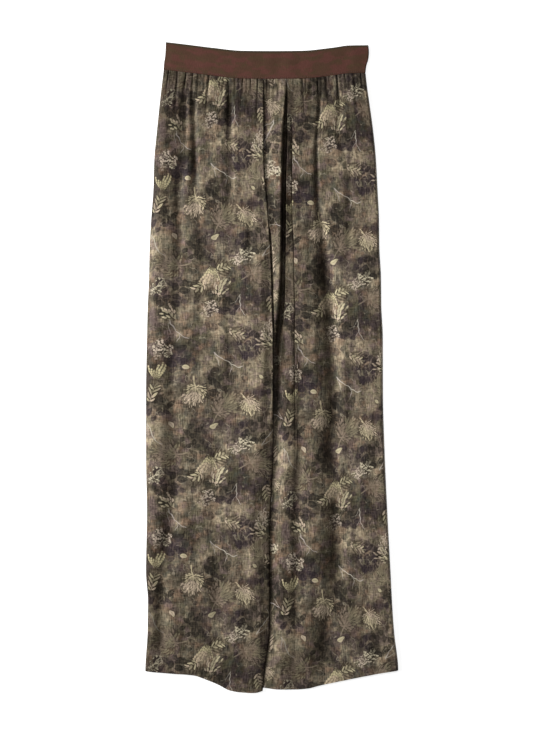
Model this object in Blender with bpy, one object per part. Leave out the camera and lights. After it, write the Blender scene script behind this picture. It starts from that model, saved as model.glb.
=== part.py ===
"""Straight-leg trousers with a ribbon waistband, laid flat on their back.

Metres, +Z up. The waist points to +Y and the wearer's left leg lies at +X. The origin is on the
surface that the trousers lie on, under the middle of their outline. Every piece of cloth is a
closed wall: a grid of points worked out from the outline, the folds and the gathers gives its
underside, and the upper side is that grid raised by the wall.

Heights along the garment are measured down from the highest point of the waist.
"""

from collections import namedtuple

import bmesh
import bpy
import numpy as np

# Driving sizes
LENGTH = 1.105  # highest point of the waist to the lowest point of the hem
BAND_DEPTH = 0.0476
BAND_WALL = 0.0016
CLOTH_WALL = 0.0012
SEAM_GAP = 0.0003
LAYER = CLOTH_WALL + SEAM_GAP  # a layer of cloth and the gap over it

# How the legs lie: below the crotch the left leg reaches in under the right one
OVERLAP = 0.016
BACK_SET_IN = 0.0015  # the right back ends this far inside the right front's folded edge
LIFT_RUN = 0.030  # the right leg climbs onto the left one over this width
LIFT_MARGIN = 0.004  # and is up this far before the left leg begins
LIFT_FROM, LIFT_TO = 0.268, 0.328  # where, down the garment, the right leg has climbed
DROP_FROM = 0.308  # where the left front starts to go down from the seam
SPLIT_TO = 0.396  # where the legs have slid over each other by the whole overlap

# How far the fronts stand off the backs
LOFT_WAIST, LOFT_LEG, LOFT_HEM = 0.0024, 0.0020, 0.0011
LOFT_RUN = 0.026  # rise from a side seam to the full loft
SEAM_NICK = 0.0006  # the centre seam is drawn in this much
SEAM_NICK_HALF_WIDTH = 0.006
FOLDED_EDGE_LOFT = 0.0004  # the right leg's inside edge stays this far open
CLEARANCE = 0.0045  # the left front rises again this far outside the right leg's edge
CLEARANCE_RUN = 0.008

# The pleat beside the centre seam: a ridge, a deep valley, a strip and a folded edge over it.
# Each runs over a span down the garment, growing from start to full and dying out to its end
Span = namedtuple("Span", "start full fading end")
RIDGE_HEIGHT = 0.0018
RIDGE_SPAN = Span(0.000, 0.100, 0.420, 0.500)
VALLEY_HALF_WIDTH = 0.0085
VALLEY_SPAN = Span(0.000, 0.090, 0.500, 0.620)
STEP_HEIGHT = 0.0014
STEP_WIDTH = 0.0025
STEP_REACH = 0.045
STEP_SPAN = Span(0.100, 0.180, 0.550, 0.800)

# Gathers: a trough is this share of its spacing deep, opens below the band and fades at its reach
GATHER_SLOPE = 0.17
GATHER_OPENS = 0.012
GATHER_AT_BAND = 0.35  # share of its depth that a trough has at the band
WIDEST_GATHER = 0.014

Section = namedtuple("Section", "down right_side seam valley fold left_side")
SECTIONS = (
    Section(0.050, -0.1841, -0.0138, 0.0224, 0.0360, 0.1590),
    Section(0.075, -0.1872, -0.0138, 0.0228, 0.0360, 0.1618),
    Section(0.100, -0.1901, -0.0138, 0.0233, 0.0357, 0.1654),
    Section(0.150, -0.1952, -0.0136, 0.0241, 0.0355, 0.1722),
    Section(0.200, -0.1998, -0.0134, 0.0228, 0.0355, 0.1771),
    Section(0.250, -0.2013, -0.0105, 0.0214, 0.0355, 0.1797),
    Section(0.300, -0.2050, -0.0058, 0.0190, 0.0360, 0.1822),
    Section(0.350, -0.2077, -0.0022, 0.0187, 0.0383, 0.1829),
    Section(0.400, -0.2088, 0.0000, 0.0216, 0.0388, 0.1856),
    Section(0.450, -0.2110, 0.0010, 0.0199, 0.0405, 0.1862),
    Section(0.500, -0.2122, 0.0026, 0.0121, 0.0398, 0.1887),
    Section(0.600, -0.2139, 0.0026, 0.0096, 0.0405, 0.1890),
    Section(0.700, -0.2139, 0.0026, 0.0096, 0.0411, 0.1919),
    Section(0.800, -0.2122, -0.0022, 0.0048, 0.0411, 0.1964),
    Section(0.900, -0.2139, -0.0031, 0.0039, 0.0411, 0.2018),
    Section(0.950, -0.2105, -0.0031, 0.0039, 0.0411, 0.2043),
    Section(1.000, -0.2111, -0.0037, 0.0033, 0.0405, 0.2077),
    Section(1.070, -0.2150, -0.0121, -0.0051, 0.0380, 0.2150),
    Section(1.105, -0.2150, -0.0158, -0.0088, 0.0370, 0.2150),
)

Edge = namedtuple("Edge", "x down")
WAIST = (
    Edge(-0.1840, -0.0005),
    Edge(-0.1425, 0.0044),
    Edge(-0.1017, 0.0095),
    Edge(-0.0507, 0.0146),
    Edge(0.0000, 0.0151),
    Edge(0.0513, 0.0146),
    Edge(0.1023, 0.0095),
    Edge(0.1330, 0.0055),
    Edge(0.1640, 0.0051),
)
LEGS_FROM = BAND_DEPTH + WAIST[4].down  # the legs' upper edge at the centre
RIGHT_HEM = (
    Edge(-0.2150, 1.0686),
    Edge(-0.1731, 1.0720),
    Edge(-0.1323, 1.0754),
    Edge(-0.1119, 1.0822),
    Edge(-0.0915, 1.0907),
    Edge(-0.0711, 1.1009),
    Edge(-0.0507, 1.1043),
    Edge(-0.0303, 1.1050),
    Edge(-0.0100, 1.1000),
)
LEFT_HEM = (
    Edge(-0.0350, 1.0955),
    Edge(-0.0139, 1.0967),
    Edge(0.0105, 1.0992),
    Edge(0.0411, 1.0992),
    Edge(0.0615, 1.0975),
    Edge(0.0819, 1.0924),
    Edge(0.1227, 1.0839),
    Edge(0.1737, 1.0737),
    Edge(0.2150, 1.0669),
)
# The ends of the waistband bow out and come in again towards the lower edge
BandEnd = namedtuple("BandEnd", "below right_end left_end")
BAND_ENDS = (
    BandEnd(0.00, -0.1800, 0.1640),
    BandEnd(0.25, -0.1805, 0.1650),
    BandEnd(0.50, -0.1812, 0.1640),
    BandEnd(0.75, -0.1830, 0.1605),
    BandEnd(1.00, -0.1838, 0.1590),
)

# Each gather's place on the band's lower edge, and how far down the cloth its trough reaches
Gather = namedtuple("Gather", "x reach")
RIGHT_GATHERS = (
    Gather(-0.1765, 0.130),
    Gather(-0.1629, 0.055),
    Gather(-0.1459, 0.150),
    Gather(-0.1357, 0.120),
    Gather(-0.1221, 0.050),
    Gather(-0.1068, 0.110),
    Gather(-0.0932, 0.130),
    Gather(-0.0823, 0.080),
    Gather(-0.0730, 0.140),
    Gather(-0.0638, 0.120),
    Gather(-0.0490, 0.140),
    Gather(-0.0354, 0.060),
    Gather(-0.0235, 0.130),
)
LEFT_GATHERS = (
    Gather(-0.0078, 0.120),
    Gather(0.0030, 0.060),
    Gather(0.0129, 0.080),
    Gather(0.0513, 0.090),
    Gather(0.0666, 0.050),
    Gather(0.0768, 0.120),
    Gather(0.0860, 0.080),
    Gather(0.0955, 0.050),
    Gather(0.1040, 0.060),
    Gather(0.1125, 0.130),
    Gather(0.1227, 0.050),
    Gather(0.1329, 0.140),
    Gather(0.1465, 0.070),
)

# The largest soft folds down the legs. A trough has a positive depth, a ridge a negative one
Fold = namedtuple("Fold", "path half_width depth")
RIGHT_FOLDS = (
    Fold((Edge(-0.1459, 0.080), Edge(-0.1612, 0.234), Edge(-0.1663, 0.400)), 0.013, 0.0016),
    Fold((Edge(-0.1731, 0.560), Edge(-0.1775, 0.700), Edge(-0.1785, 0.920)), 0.016, 0.0014),
    Fold((Edge(-0.1408, 0.300), Edge(-0.1408, 0.360), Edge(-0.1400, 0.430)), 0.016, -0.0012),
    Fold((Edge(-0.1646, 0.100), Edge(-0.1646, 0.150), Edge(-0.1700, 0.210)), 0.011, -0.0010),
    Fold((Edge(-0.0167, 0.120), Edge(-0.0170, 0.180), Edge(-0.0150, 0.255)), 0.009, 0.0010),
    Fold((Edge(-0.0330, 0.240), Edge(-0.0337, 0.300), Edge(-0.0340, 0.380)), 0.012, 0.0010),
    Fold((Edge(-0.0900, 0.480), Edge(-0.0960, 0.700), Edge(-0.0880, 0.960)), 0.030, 0.0010),
)
LEFT_FOLDS = (
    Fold(
        (
            Edge(0.0725, 0.140),
            Edge(0.0777, 0.320),
            Edge(0.0904, 0.447),
            Edge(0.0947, 0.557),
            Edge(0.0904, 0.702),
            Edge(0.0989, 0.872),
            Edge(0.0930, 1.000),
        ),
        0.020,
        0.0019,
    ),
    Fold((Edge(0.0309, 0.640), Edge(0.0309, 0.745), Edge(0.0245, 1.000)), 0.015, 0.0014),
    Fold((Edge(0.1120, 0.100), Edge(0.1180, 0.200), Edge(0.1230, 0.330)), 0.012, 0.0011),
    Fold((Edge(0.0620, 0.420), Edge(0.0640, 0.600), Edge(0.0620, 0.850)), 0.018, -0.0012),
    Fold((Edge(0.1500, 0.300), Edge(0.1560, 0.620), Edge(0.1650, 0.950)), 0.028, 0.0011),
)

# Rows of points, as distances below the band: close together where the gathers are and where
# the legs part, wide apart down the legs
GATHER_ROWS = (0.0, 0.003, 0.008, 0.015, 0.024, 0.035, 0.048, 0.063, 0.080, 0.100, 0.125)
HIP_ROWS = (0.150, 0.178)
CROTCH_ROWS = np.linspace(0.203, 0.340, 11)
PLAIN_ROWS = (0.012, 0.050, 0.100, 0.150)
HEM_REACH = 0.120  # rows bend to the hem's curve over this height
WAIST_REACH = 0.100
LEG_ROWS = 17
BAND_STEPS = 34
STEPS_PER_GATHER = 4

CLOTH_COLOUR = (0.117, 0.093, 0.069, 1.0)
BAND_COLOUR = (0.089, 0.042, 0.028, 1.0)


def ease(share):
    """0 up to a share of 0, 1 from a share of 1, and a smooth S between them."""
    share = np.clip(share, 0.0, 1.0)
    return share * share * (3.0 - 2.0 * share)


def hump(distance, half_width):
    """1 on a line, falling smoothly to 0 at half_width on either side of it."""
    return ease(1.0 - np.abs(distance) / half_width)


def through(at, known, values):
    """A smooth curve through the values at the known places, which never overshoots them."""
    known, values, at = (np.asarray(given, float) for given in (known, values, at))
    run = np.diff(known)
    slope = np.diff(values) / run
    turning = slope[:-1] * slope[1:] <= 0.0
    both = np.where(turning, 1.0, slope[:-1] + slope[1:])
    inner = np.where(turning, 0.0, 2.0 * slope[:-1] * slope[1:] / both)
    tangent = np.concatenate([slope[:1], inner, slope[-1:]])
    at = np.clip(at, known[0], known[-1])
    piece = np.clip(np.searchsorted(known, at, side="right") - 1, 0, len(run) - 1)
    share = (at - known[piece]) / run[piece]
    blend = ease(share)
    pull = share * (1.0 - share) * run[piece]
    return (
        values[piece] * (1.0 - blend)
        + values[piece + 1] * blend
        + pull * (tangent[piece] * (1.0 - share) - tangent[piece + 1] * share)
    )


def section_line(name, down):
    """Where one of the lines of the section table lies, at each distance down the garment."""
    return through(down, [row.down for row in SECTIONS], [getattr(row, name) for row in SECTIONS])


def edge_line(edge, x):
    """How far down an edge such as the waist or a hem lies, at each x."""
    return through(x, [point.x for point in edge], [point.down for point in edge])


def to_y(down):
    return LENGTH / 2.0 - down


def cloth_top(x):
    """The legs start just below the waistband."""
    return edge_line(WAIST, x) + BAND_DEPTH + SEAM_GAP


def lifted(down):
    """0 where the legs are one flat tube, 1 where the right leg has climbed onto the left."""
    return ease((down - LIFT_FROM) / (LIFT_TO - LIFT_FROM))


def dropped(down):
    """0 where the left front is still level with the centre seam, 1 where it is down."""
    return ease((down - DROP_FROM) / (LIFT_TO - DROP_FROM))


def parted(down):
    """0 down to the crotch, 1 where the legs lie over each other by the whole overlap."""
    return ease((down - LIFT_TO) / (SPLIT_TO - LIFT_TO))


def right_climb(x, down):
    """How much higher than the floor the right leg lies, to clear the left leg under it."""
    start = section_line("seam", down) - OVERLAP - LIFT_MARGIN - LIFT_RUN
    return 2.0 * LAYER * lifted(down) * ease((x - start) / LIFT_RUN)


def loft(down):
    """How far a front stands off its back in the middle of a leg."""
    return through(down, (0.05, 0.30, 0.90, 1.09), (LOFT_WAIST, LOFT_LEG, LOFT_LEG, LOFT_HEM))


def within(span, down):
    """1 over the full stretch of a span, easing to 0 at its start and end."""
    growing = ease((down - span.start) / (span.full - span.start))
    return growing * ease((span.end - down) / (span.end - span.fading))


def soft_folds(folds, x, down):
    """The sum of the soft troughs and ridges, each fading out at both ends of its path."""
    total = np.zeros_like(x)
    for fold in folds:
        places = [point.down for point in fold.path]
        line = through(down, places, [point.x for point in fold.path])
        third = (places[-1] - places[0]) / 3.0
        span = Span(places[0], places[0] + third, places[-1] - third, places[-1])
        total += fold.depth * within(span, down) * hump(x - line, fold.half_width)
    return total


def gathers(troughs, start_x, below):
    """Depth of the gathers for points whose column starts at start_x on the band."""
    places = np.array([trough.x for trough in troughs])
    total = np.zeros_like(below)
    for i, trough in enumerate(troughs):
        before = places[i] - places[i - 1] if i else places[1] - places[0]
        after = places[i + 1] - places[i] if i + 1 < len(places) else before
        spacing = min(before, after, WIDEST_GATHER)
        opening = GATHER_AT_BAND + (1.0 - GATHER_AT_BAND) * ease(below / GATHER_OPENS)
        fading = ease((trough.reach - below) / (0.8 * trough.reach))
        across = hump(start_x - trough.x, 0.55 * spacing)
        total += GATHER_SLOPE * spacing * opening * fading * across
    return total


def columns_between(stations, steps):
    """The stations with steps - 1 more columns in each space between two of them."""
    spread = [np.linspace(a, b, steps, endpoint=False) for a, b in zip(stations, stations[1:])]
    return np.concatenate([*spread, stations[-1:]])


def rows_down(rows, hem, lane_x, start_down):
    """Distance down of each grid point: the rows follow the waist above and the hem below."""
    hem_down = edge_line(hem, lane_x)
    mean_hem = np.mean([point.down for point in hem])
    leg_length = mean_hem - LEGS_FROM
    below = rows[:, None] * leg_length / rows[-1]
    near_waist = ease(1.0 - below / WAIST_REACH)
    near_hem = ease(1.0 - (leg_length - below) / HEM_REACH)
    bend = (start_down - LEGS_FROM) * near_waist + (hem_down - mean_hem) * near_hem
    return LEGS_FROM + below + bend


def lanes_at_band(lanes):
    return [float(line) for line in lanes(np.array(LEGS_FROM))]


def leg_grid(lanes, stations, rows, hem):
    """x and distance down of a leg piece's points, as rows x columns.

    lanes(down) gives the piece's lines across, from -X to +X, and a column keeps its share of
    the way between two of them. stations are the columns' places on the band's lower edge.
    """
    starts = lanes_at_band(lanes)
    place = np.interp(stations, starts, range(len(starts)))
    lane = np.minimum(place.astype(int), len(starts) - 2)

    def across(down):
        lines = np.stack(np.broadcast_arrays(*lanes(down)))
        which = np.broadcast_to(lane, down.shape)[None]
        left = np.take_along_axis(lines, which, axis=0)[0]
        right = np.take_along_axis(lines, which + 1, axis=0)[0]
        return left + (place - lane) * (right - left)

    start_down = cloth_top(stations)
    down = rows_down(rows, hem, stations, start_down)
    for _ in range(3):
        x = across(down)
        down = rows_down(rows, hem, x, start_down)
    return across(down), down


def cloth_material(name, colour, roughness):
    material = bpy.data.materials.new(name)
    material.use_nodes = True
    shader = material.node_tree.nodes["Principled BSDF"]
    shader.inputs["Base Color"].default_value = colour
    shader.inputs["Roughness"].default_value = roughness
    shader.inputs["Metallic"].default_value = 0.0
    return material


def wall_object(name, x, down, height, wall, material, parent, coarse_from=None):
    """A closed wall of cloth over a grid of points, whose underside is at the given height.

    From the row coarse_from on, only every second column is kept.
    """
    rows, columns = x.shape
    kept = [
        range(0, columns, 2) if coarse_from is not None and row >= coarse_from else range(columns)
        for row in range(rows)
    ]
    mesh = bmesh.new()
    points = [
        {column: mesh.verts.new((x[row, column], to_y(down[row, column]), height[row, column]))
         for column in kept[row]}
        for row in range(rows)
    ]
    for upper, lower, columns_below in zip(points, points[1:], kept[1:]):
        for left, right in zip(columns_below, columns_below[1:]):
            over = [upper[column] for column in range(right, left - 1, -1) if column in upper]
            mesh.faces.new([lower[left], lower[right], *over])
    sheet = mesh.faces[:]
    raised = bmesh.ops.extrude_face_region(mesh, geom=sheet, use_keep_orig=True)["geom"]
    upper_points = [item for item in raised if isinstance(item, bmesh.types.BMVert)]
    bmesh.ops.translate(mesh, verts=upper_points, vec=(0.0, 0.0, wall))
    bmesh.ops.recalc_face_normals(mesh, faces=mesh.faces[:])
    data = bpy.data.meshes.new(name)
    mesh.to_mesh(data)
    mesh.free()
    data.materials.append(material)
    data.shade_smooth()
    data.set_sharp_from_angle(angle=np.radians(50.0))
    piece = bpy.data.objects.new(name, data)
    piece.parent = parent
    bpy.context.collection.objects.link(piece)
    return piece


def leg_rows():
    """Distances below the band for a front's rows, and for a back's, which has no gathers."""
    leg = np.linspace(CROTCH_ROWS[-1], RIGHT_HEM[4].down - LEGS_FROM, LEG_ROWS + 1)[1:]
    front = np.concatenate([GATHER_ROWS, HIP_ROWS, CROTCH_ROWS, leg])
    back = np.concatenate([(0.0,), PLAIN_ROWS, CROTCH_ROWS, leg])
    return front, back


def waistband(name, height, material, parent):
    """A flat length of ribbon between the side seams, following the waist's curve."""
    share = np.linspace(0.0, 1.0, BAND_STEPS + 1)[None, :]
    below = np.array([row.below for row in BAND_ENDS])[:, None]
    right_end = np.array([row.right_end for row in BAND_ENDS])[:, None]
    left_end = np.array([row.left_end for row in BAND_ENDS])[:, None]
    x = right_end + share * (left_end - right_end)
    down = edge_line(WAIST, x) + below * BAND_DEPTH
    return wall_object(name, x, down, np.full_like(x, height), BAND_WALL, material, parent)


def right_front(rows, material, parent):
    """Its inner edge is the centre seam and then the folded inside leg, on top of the left leg."""

    def lanes(down):
        seam = section_line("seam", down)
        climb_start = seam - OVERLAP - LIFT_MARGIN - LIFT_RUN
        return section_line("right_side", down), climb_start, seam

    side, _, seam = lanes_at_band(lanes)
    troughs = [trough.x for trough in RIGHT_GATHERS]
    stations = columns_between([side, *troughs, seam], STEPS_PER_GATHER)
    x, down = leg_grid(lanes, stations, rows, RIGHT_HEM)
    from_side = x - section_line("right_side", down)
    from_seam = section_line("seam", down) - x
    standing = loft(down) * ease(from_side / LOFT_RUN)
    standing -= SEAM_NICK * hump(from_seam, SEAM_NICK_HALF_WIDTH)
    standing *= 1.0 - lifted(down) * (1.0 - ease(from_seam / LOFT_RUN))
    dips = soft_folds(RIGHT_FOLDS, x, down)
    dips += gathers(RIGHT_GATHERS, stations, down - cloth_top(stations))
    standing = np.maximum(standing - dips, 0.0)
    standing = np.maximum(standing, FOLDED_EDGE_LOFT * lifted(down))
    height = LAYER + right_climb(x, down) + standing
    coarse_from = len(GATHER_ROWS) - 1
    wall_object("front_leg_right", x, down, height, CLOTH_WALL, material, parent, coarse_from)


def left_front(rows, material, parent):
    """Its inner edge is the centre seam, then slides in under the right leg.

    Beside the seam lie a ridge, a deep valley, a flat strip and a folded edge over the strip.
    """

    def lanes(down):
        seam = section_line("seam", down)
        inner = seam + SEAM_GAP - (OVERLAP + SEAM_GAP) * parted(down)
        fold = section_line("fold", down)
        valley = section_line("valley", down)
        return inner, valley, fold - STEP_WIDTH, fold, section_line("left_side", down)

    stops = sorted([*lanes_at_band(lanes), *(trough.x for trough in LEFT_GATHERS)])
    stations = columns_between(stops, STEPS_PER_GATHER)
    x, down = leg_grid(lanes, stations, rows, LEFT_HEM)
    seam = section_line("seam", down)
    valley = section_line("valley", down)
    fold = section_line("fold", down)
    joined = 1.0 - dropped(down)
    standing = loft(down) * ease((section_line("left_side", down) - x) / LOFT_RUN)
    standing -= SEAM_NICK * hump(x - seam, SEAM_NICK_HALF_WIDTH)

    across_ridge = hump(x - 0.5 * (seam + valley), 0.7 * (valley - seam))
    standing += RIDGE_HEIGHT * within(RIDGE_SPAN, down) * across_ridge
    dips = soft_folds(LEFT_FOLDS, x, down)
    dips += gathers(LEFT_GATHERS, stations, down - cloth_top(stations))
    standing = np.maximum(standing - dips, 0.0)
    standing *= 1.0 - within(VALLEY_SPAN, down) * hump(x - valley, VALLEY_HALF_WIDTH)
    over = ease((x - fold + STEP_WIDTH) / STEP_WIDTH) * ease(1.0 - (x - fold) / STEP_REACH)
    standing += STEP_HEIGHT * within(STEP_SPAN, down) * over

    lift = lifted(down) * ease(1.0 - (x - seam) / LIFT_RUN)
    standing += lift * (np.maximum(standing, 2.0 * LAYER) - standing)
    clear_of_right_leg = ease((x - seam - CLEARANCE) / CLEARANCE_RUN)
    standing *= joined + (1.0 - joined) * clear_of_right_leg
    height = LAYER + standing
    coarse_from = len(GATHER_ROWS) - 1
    wall_object("front_leg_left", x, down, height, CLOTH_WALL, material, parent, coarse_from)


def right_back(rows, material, parent):
    """It lies on the floor, and at the inside leg climbs over the left front."""

    def lanes(down):
        seam = section_line("seam", down)
        climb_start = seam - OVERLAP - LIFT_MARGIN - LIFT_RUN
        inner = seam - OVERLAP + (OVERLAP - BACK_SET_IN) * parted(down)
        return section_line("right_side", down), climb_start, inner

    side, climb_start, inner = lanes_at_band(lanes)
    flat = np.linspace(side, climb_start, 9)
    stations = np.concatenate([flat[:-1], np.linspace(climb_start, inner, 13)])
    x, down = leg_grid(lanes, stations, rows, RIGHT_HEM)
    climb = right_climb(x, down)
    wall_object("back_leg_right", x, down, climb, CLOTH_WALL, material, parent, coarse_from=2)


def left_back(rows, material, parent):
    """It lies flat on the floor, from its side seam to the overlap."""

    def lanes(down):
        inner = section_line("seam", down) - OVERLAP + SEAM_GAP
        return inner, section_line("left_side", down)

    x, down = leg_grid(lanes, np.linspace(*lanes_at_band(lanes), 17), rows, LEFT_HEM)
    flat = np.zeros_like(x)
    wall_object("back_leg_left", x, down, flat, CLOTH_WALL, material, parent, coarse_from=2)


for old in list(bpy.data.objects):
    bpy.data.objects.remove(old, do_unlink=True)

trousers = bpy.data.objects.new("trousers", None)
bpy.context.collection.objects.link(trousers)
printed_satin = cloth_material("printed_satin", CLOTH_COLOUR, 0.5)
ribbon = cloth_material("ribbed_ribbon", BAND_COLOUR, 0.8)

front_rows, back_rows = leg_rows()
left_back(back_rows, printed_satin, trousers)
right_back(back_rows, printed_satin, trousers)
left_front(front_rows, printed_satin, trousers)
right_front(front_rows, printed_satin, trousers)
waistband("waistband_back", 0.0, ribbon, trousers)
waistband("waistband_front", BAND_WALL + SEAM_GAP, ribbon, trousers)
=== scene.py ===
"""Straight-leg trousers in printed satin with a ribbed ribbon waistband, laid flat on their back.

Metres, +Z up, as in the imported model: the waist points to +Y and the wearer's left leg lies at +X.
Places along the garment are measured down from the highest point of the waist. Right and left are
the wearer's.
"""

from collections import namedtuple

import bpy
import numpy as np
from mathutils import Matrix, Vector


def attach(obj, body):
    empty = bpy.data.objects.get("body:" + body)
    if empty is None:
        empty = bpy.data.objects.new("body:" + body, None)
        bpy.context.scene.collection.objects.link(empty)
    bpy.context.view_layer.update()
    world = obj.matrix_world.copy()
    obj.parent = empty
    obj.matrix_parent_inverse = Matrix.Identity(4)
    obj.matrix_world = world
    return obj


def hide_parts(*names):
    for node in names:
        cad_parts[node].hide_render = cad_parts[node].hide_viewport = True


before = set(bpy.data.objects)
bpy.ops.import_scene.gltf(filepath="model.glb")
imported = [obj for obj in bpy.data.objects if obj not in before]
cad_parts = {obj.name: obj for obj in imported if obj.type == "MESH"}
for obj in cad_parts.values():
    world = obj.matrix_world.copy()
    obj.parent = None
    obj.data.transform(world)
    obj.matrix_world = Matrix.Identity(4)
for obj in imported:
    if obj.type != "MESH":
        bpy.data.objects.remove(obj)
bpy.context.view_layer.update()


# ---- The two back legs ----------------------------------------------------------------------
# Panels of printed viscose satin from waist to hem, gathered onto the back of the waistband. They
# lie lowest: the left one flat on the floor, the right one too, up to the inside leg, where it
# climbs onto the left leg. Their side edges turn up to meet the fronts.

# The print: a mottled khaki ground with slubs like linen, dark leaves and shadows sunk into it, and
# pale sprays, seed heads, twigs and single leaves over them. It lies on each panel's flat cut, so it
# follows the cloth into its folds.
REPEAT = 0.320
LIGHT_ROW = 0.146  # the middle of the paler half of the repeat
LIGHT_LEVEL = 1.2  # a colour shows about this much brighter in the studio's light

# A motif's middle on the repeat, its turn, and how far it reaches from its middle
Motif = namedtuple("Motif", "across up turn reach")
DARK_BEDS = (
    Motif(0.040, 0.040, 20, 0.036),
    Motif(0.128, 0.022, 140, 0.028),
    Motif(0.214, 0.058, 250, 0.033),
    Motif(0.292, 0.020, 80, 0.029),
    Motif(0.082, 0.112, 310, 0.030),
    Motif(0.172, 0.126, 190, 0.034),
    Motif(0.264, 0.136, 40, 0.037),
    Motif(0.020, 0.170, 110, 0.031),
    Motif(0.114, 0.206, 230, 0.037),
    Motif(0.212, 0.206, 330, 0.029),
    Motif(0.296, 0.222, 170, 0.031),
    Motif(0.048, 0.254, 60, 0.033),
    Motif(0.166, 0.274, 290, 0.031),
    Motif(0.250, 0.284, 200, 0.034),
)
TWIGS = (
    Motif(0.050, 0.292, 300, 0.026),
    Motif(0.128, 0.240, 318, 0.029),
    Motif(0.202, 0.118, 52, 0.026),
    Motif(0.290, 0.034, 235, 0.028),
    Motif(0.012, 0.116, 292, 0.024),
    Motif(0.306, 0.196, 150, 0.021),
    Motif(0.150, 0.018, 265, 0.021),
    Motif(0.236, 0.164, 20, 0.022),
)
FLORETS = (
    Motif(0.156, 0.100, 20, 0.025),
    Motif(0.300, 0.288, 350, 0.025),
    Motif(0.028, 0.262, 160, 0.025),
    Motif(0.264, 0.182, 120, 0.020),
    Motif(0.018, 0.052, 60, 0.022),
    Motif(0.196, 0.296, 80, 0.020),
    Motif(0.100, 0.012, 200, 0.020),
)
UMBELS = (
    Motif(0.080, 0.190, 255, 0.028),
    Motif(0.238, 0.056, 215, 0.027),
    Motif(0.166, 0.172, 290, 0.022),
    Motif(0.300, 0.078, 310, 0.019),
)
FAINT_UMBELS = (
    Motif(0.126, 0.166, 40, 0.034),
    Motif(0.040, 0.088, 160, 0.033),
    Motif(0.262, 0.010, 300, 0.032),
    Motif(0.196, 0.244, 80, 0.030),
    Motif(0.292, 0.170, 210, 0.030),
    Motif(0.180, 0.070, 0, 0.030),
)
SPRAYS = (
    Motif(0.266, 0.226, 10, 0.018),
    Motif(0.086, 0.048, 215, 0.017),
    Motif(0.300, 0.128, 98, 0.017),
    Motif(0.014, 0.190, 70, 0.018),
    Motif(0.146, 0.288, 340, 0.016),
    Motif(0.200, 0.020, 285, 0.015),
    Motif(0.212, 0.226, 170, 0.016),
    Motif(0.122, 0.082, 20, 0.015),
)
TUFTS = (
    Motif(0.240, 0.250, 88, 0.026),
    Motif(0.104, 0.066, 262, 0.024),
    Motif(0.020, 0.226, 84, 0.021),
)
LEAF_CLUSTERS = (
    Motif(0.222, 0.262, 150, 0.018),
    Motif(0.120, 0.050, 65, 0.018),
    Motif(0.036, 0.006, 130, 0.018),
    Motif(0.190, 0.276, 150, 0.016),
    Motif(0.290, 0.150, 240, 0.017),
)
SINGLE_LEAVES = (
    Motif(0.112, 0.134, 20, 0.0070),
    Motif(0.044, 0.136, 300, 0.0074),
    Motif(0.274, 0.090, 60, 0.0060),
    Motif(0.246, 0.306, 100, 0.0072),
    Motif(0.066, 0.234, 340, 0.0062),
    Motif(0.184, 0.216, 140, 0.0054),
)


def dye(red, green, blue):
    """A colour as it shows under the studio's light, 0-255, as the linear values of a shader."""
    shown = np.array([red, green, blue]) / 255.0
    linear = np.where(shown > 0.04045, ((shown + 0.055) / 1.055) ** 2.4, shown / 12.92) / LIGHT_LEVEL
    return (*(float(value) for value in linear), 1.0)


def new_material(name):
    """A material, its node tree and its shader."""
    material = bpy.data.materials.new(name)
    material.use_nodes = True
    tree = material.node_tree
    return material, tree, tree.nodes["Principled BSDF"]


class Ink:
    """A number that varies over the cloth: an output of the print's node tree.

    Each sum, difference, product or other step on inks adds one node to the tree.
    """

    def __init__(self, tree, socket):
        self.tree, self.socket = tree, socket

    def step(self, operation, *values):
        """One step of arithmetic, from this ink and other values."""
        node = self.tree.nodes.new("ShaderNodeMath")
        node.operation = operation
        for socket, value in zip(node.inputs, (self, *values)):
            feed(self.tree, socket, value)
        return Ink(self.tree, node.outputs[0])

    def __add__(self, other):
        return self.step("ADD", other)

    def __sub__(self, other):
        return self.step("SUBTRACT", other)

    def __rsub__(self, other):
        return self.step("MULTIPLY_ADD", -1.0, other)

    def __mul__(self, other):
        return self.step("MULTIPLY", other)

    def __truediv__(self, other):
        return self.step("DIVIDE", other)

    def __abs__(self):
        return self.step("ABSOLUTE")

    __radd__, __rmul__ = __add__, __mul__

    def rise(self, low, high):
        """0 below low, 1 above high and a smooth S between them; falls where low is over high."""
        node = self.tree.nodes.new("ShaderNodeMapRange")
        node.interpolation_type = "SMOOTHSTEP"
        feed(self.tree, node.inputs["Value"], self)
        node.inputs["From Min"].default_value = min(low, high)
        node.inputs["From Max"].default_value = max(low, high)
        node.inputs["To Min"].default_value = 0.0 if low < high else 1.0
        node.inputs["To Max"].default_value = 1.0 if low < high else 0.0
        return Ink(self.tree, node.outputs["Result"])


def feed(tree, socket, value):
    """Wires an ink or another node's output to a socket, or sets the socket's own number."""
    if isinstance(value, Ink):
        tree.links.new(value.socket, socket)
    elif isinstance(value, bpy.types.NodeSocket):
        tree.links.new(value, socket)
    else:
        socket.default_value = value


def vector_step(tree, operation, *values):
    """One step of arithmetic on places."""
    node = tree.nodes.new("ShaderNodeVectorMath")
    node.operation = operation
    for socket, value in zip(node.inputs, values):
        feed(tree, socket, value)
    return node.outputs["Value" if operation in ("LENGTH", "DOT_PRODUCT") else "Vector"]


def two_ways(tree, place):
    """The first two parts of a place, as inks."""
    node = tree.nodes.new("ShaderNodeSeparateXYZ")
    feed(tree, node.inputs[0], place)
    return Ink(tree, node.outputs[0]), Ink(tree, node.outputs[1])


def two_chances(tree, colour):
    """The first two parts of a random colour, as inks."""
    node = tree.nodes.new("ShaderNodeSeparateColor")
    feed(tree, node.inputs[0], colour)
    return Ink(tree, node.outputs[0]), Ink(tree, node.outputs[1])


def joined(tree, *parts):
    """A place made of two or three inks or numbers."""
    node = tree.nodes.new("ShaderNodeCombineXYZ")
    for socket, value in zip(node.inputs, parts):
        feed(tree, socket, value)
    return node.outputs[0]


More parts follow.
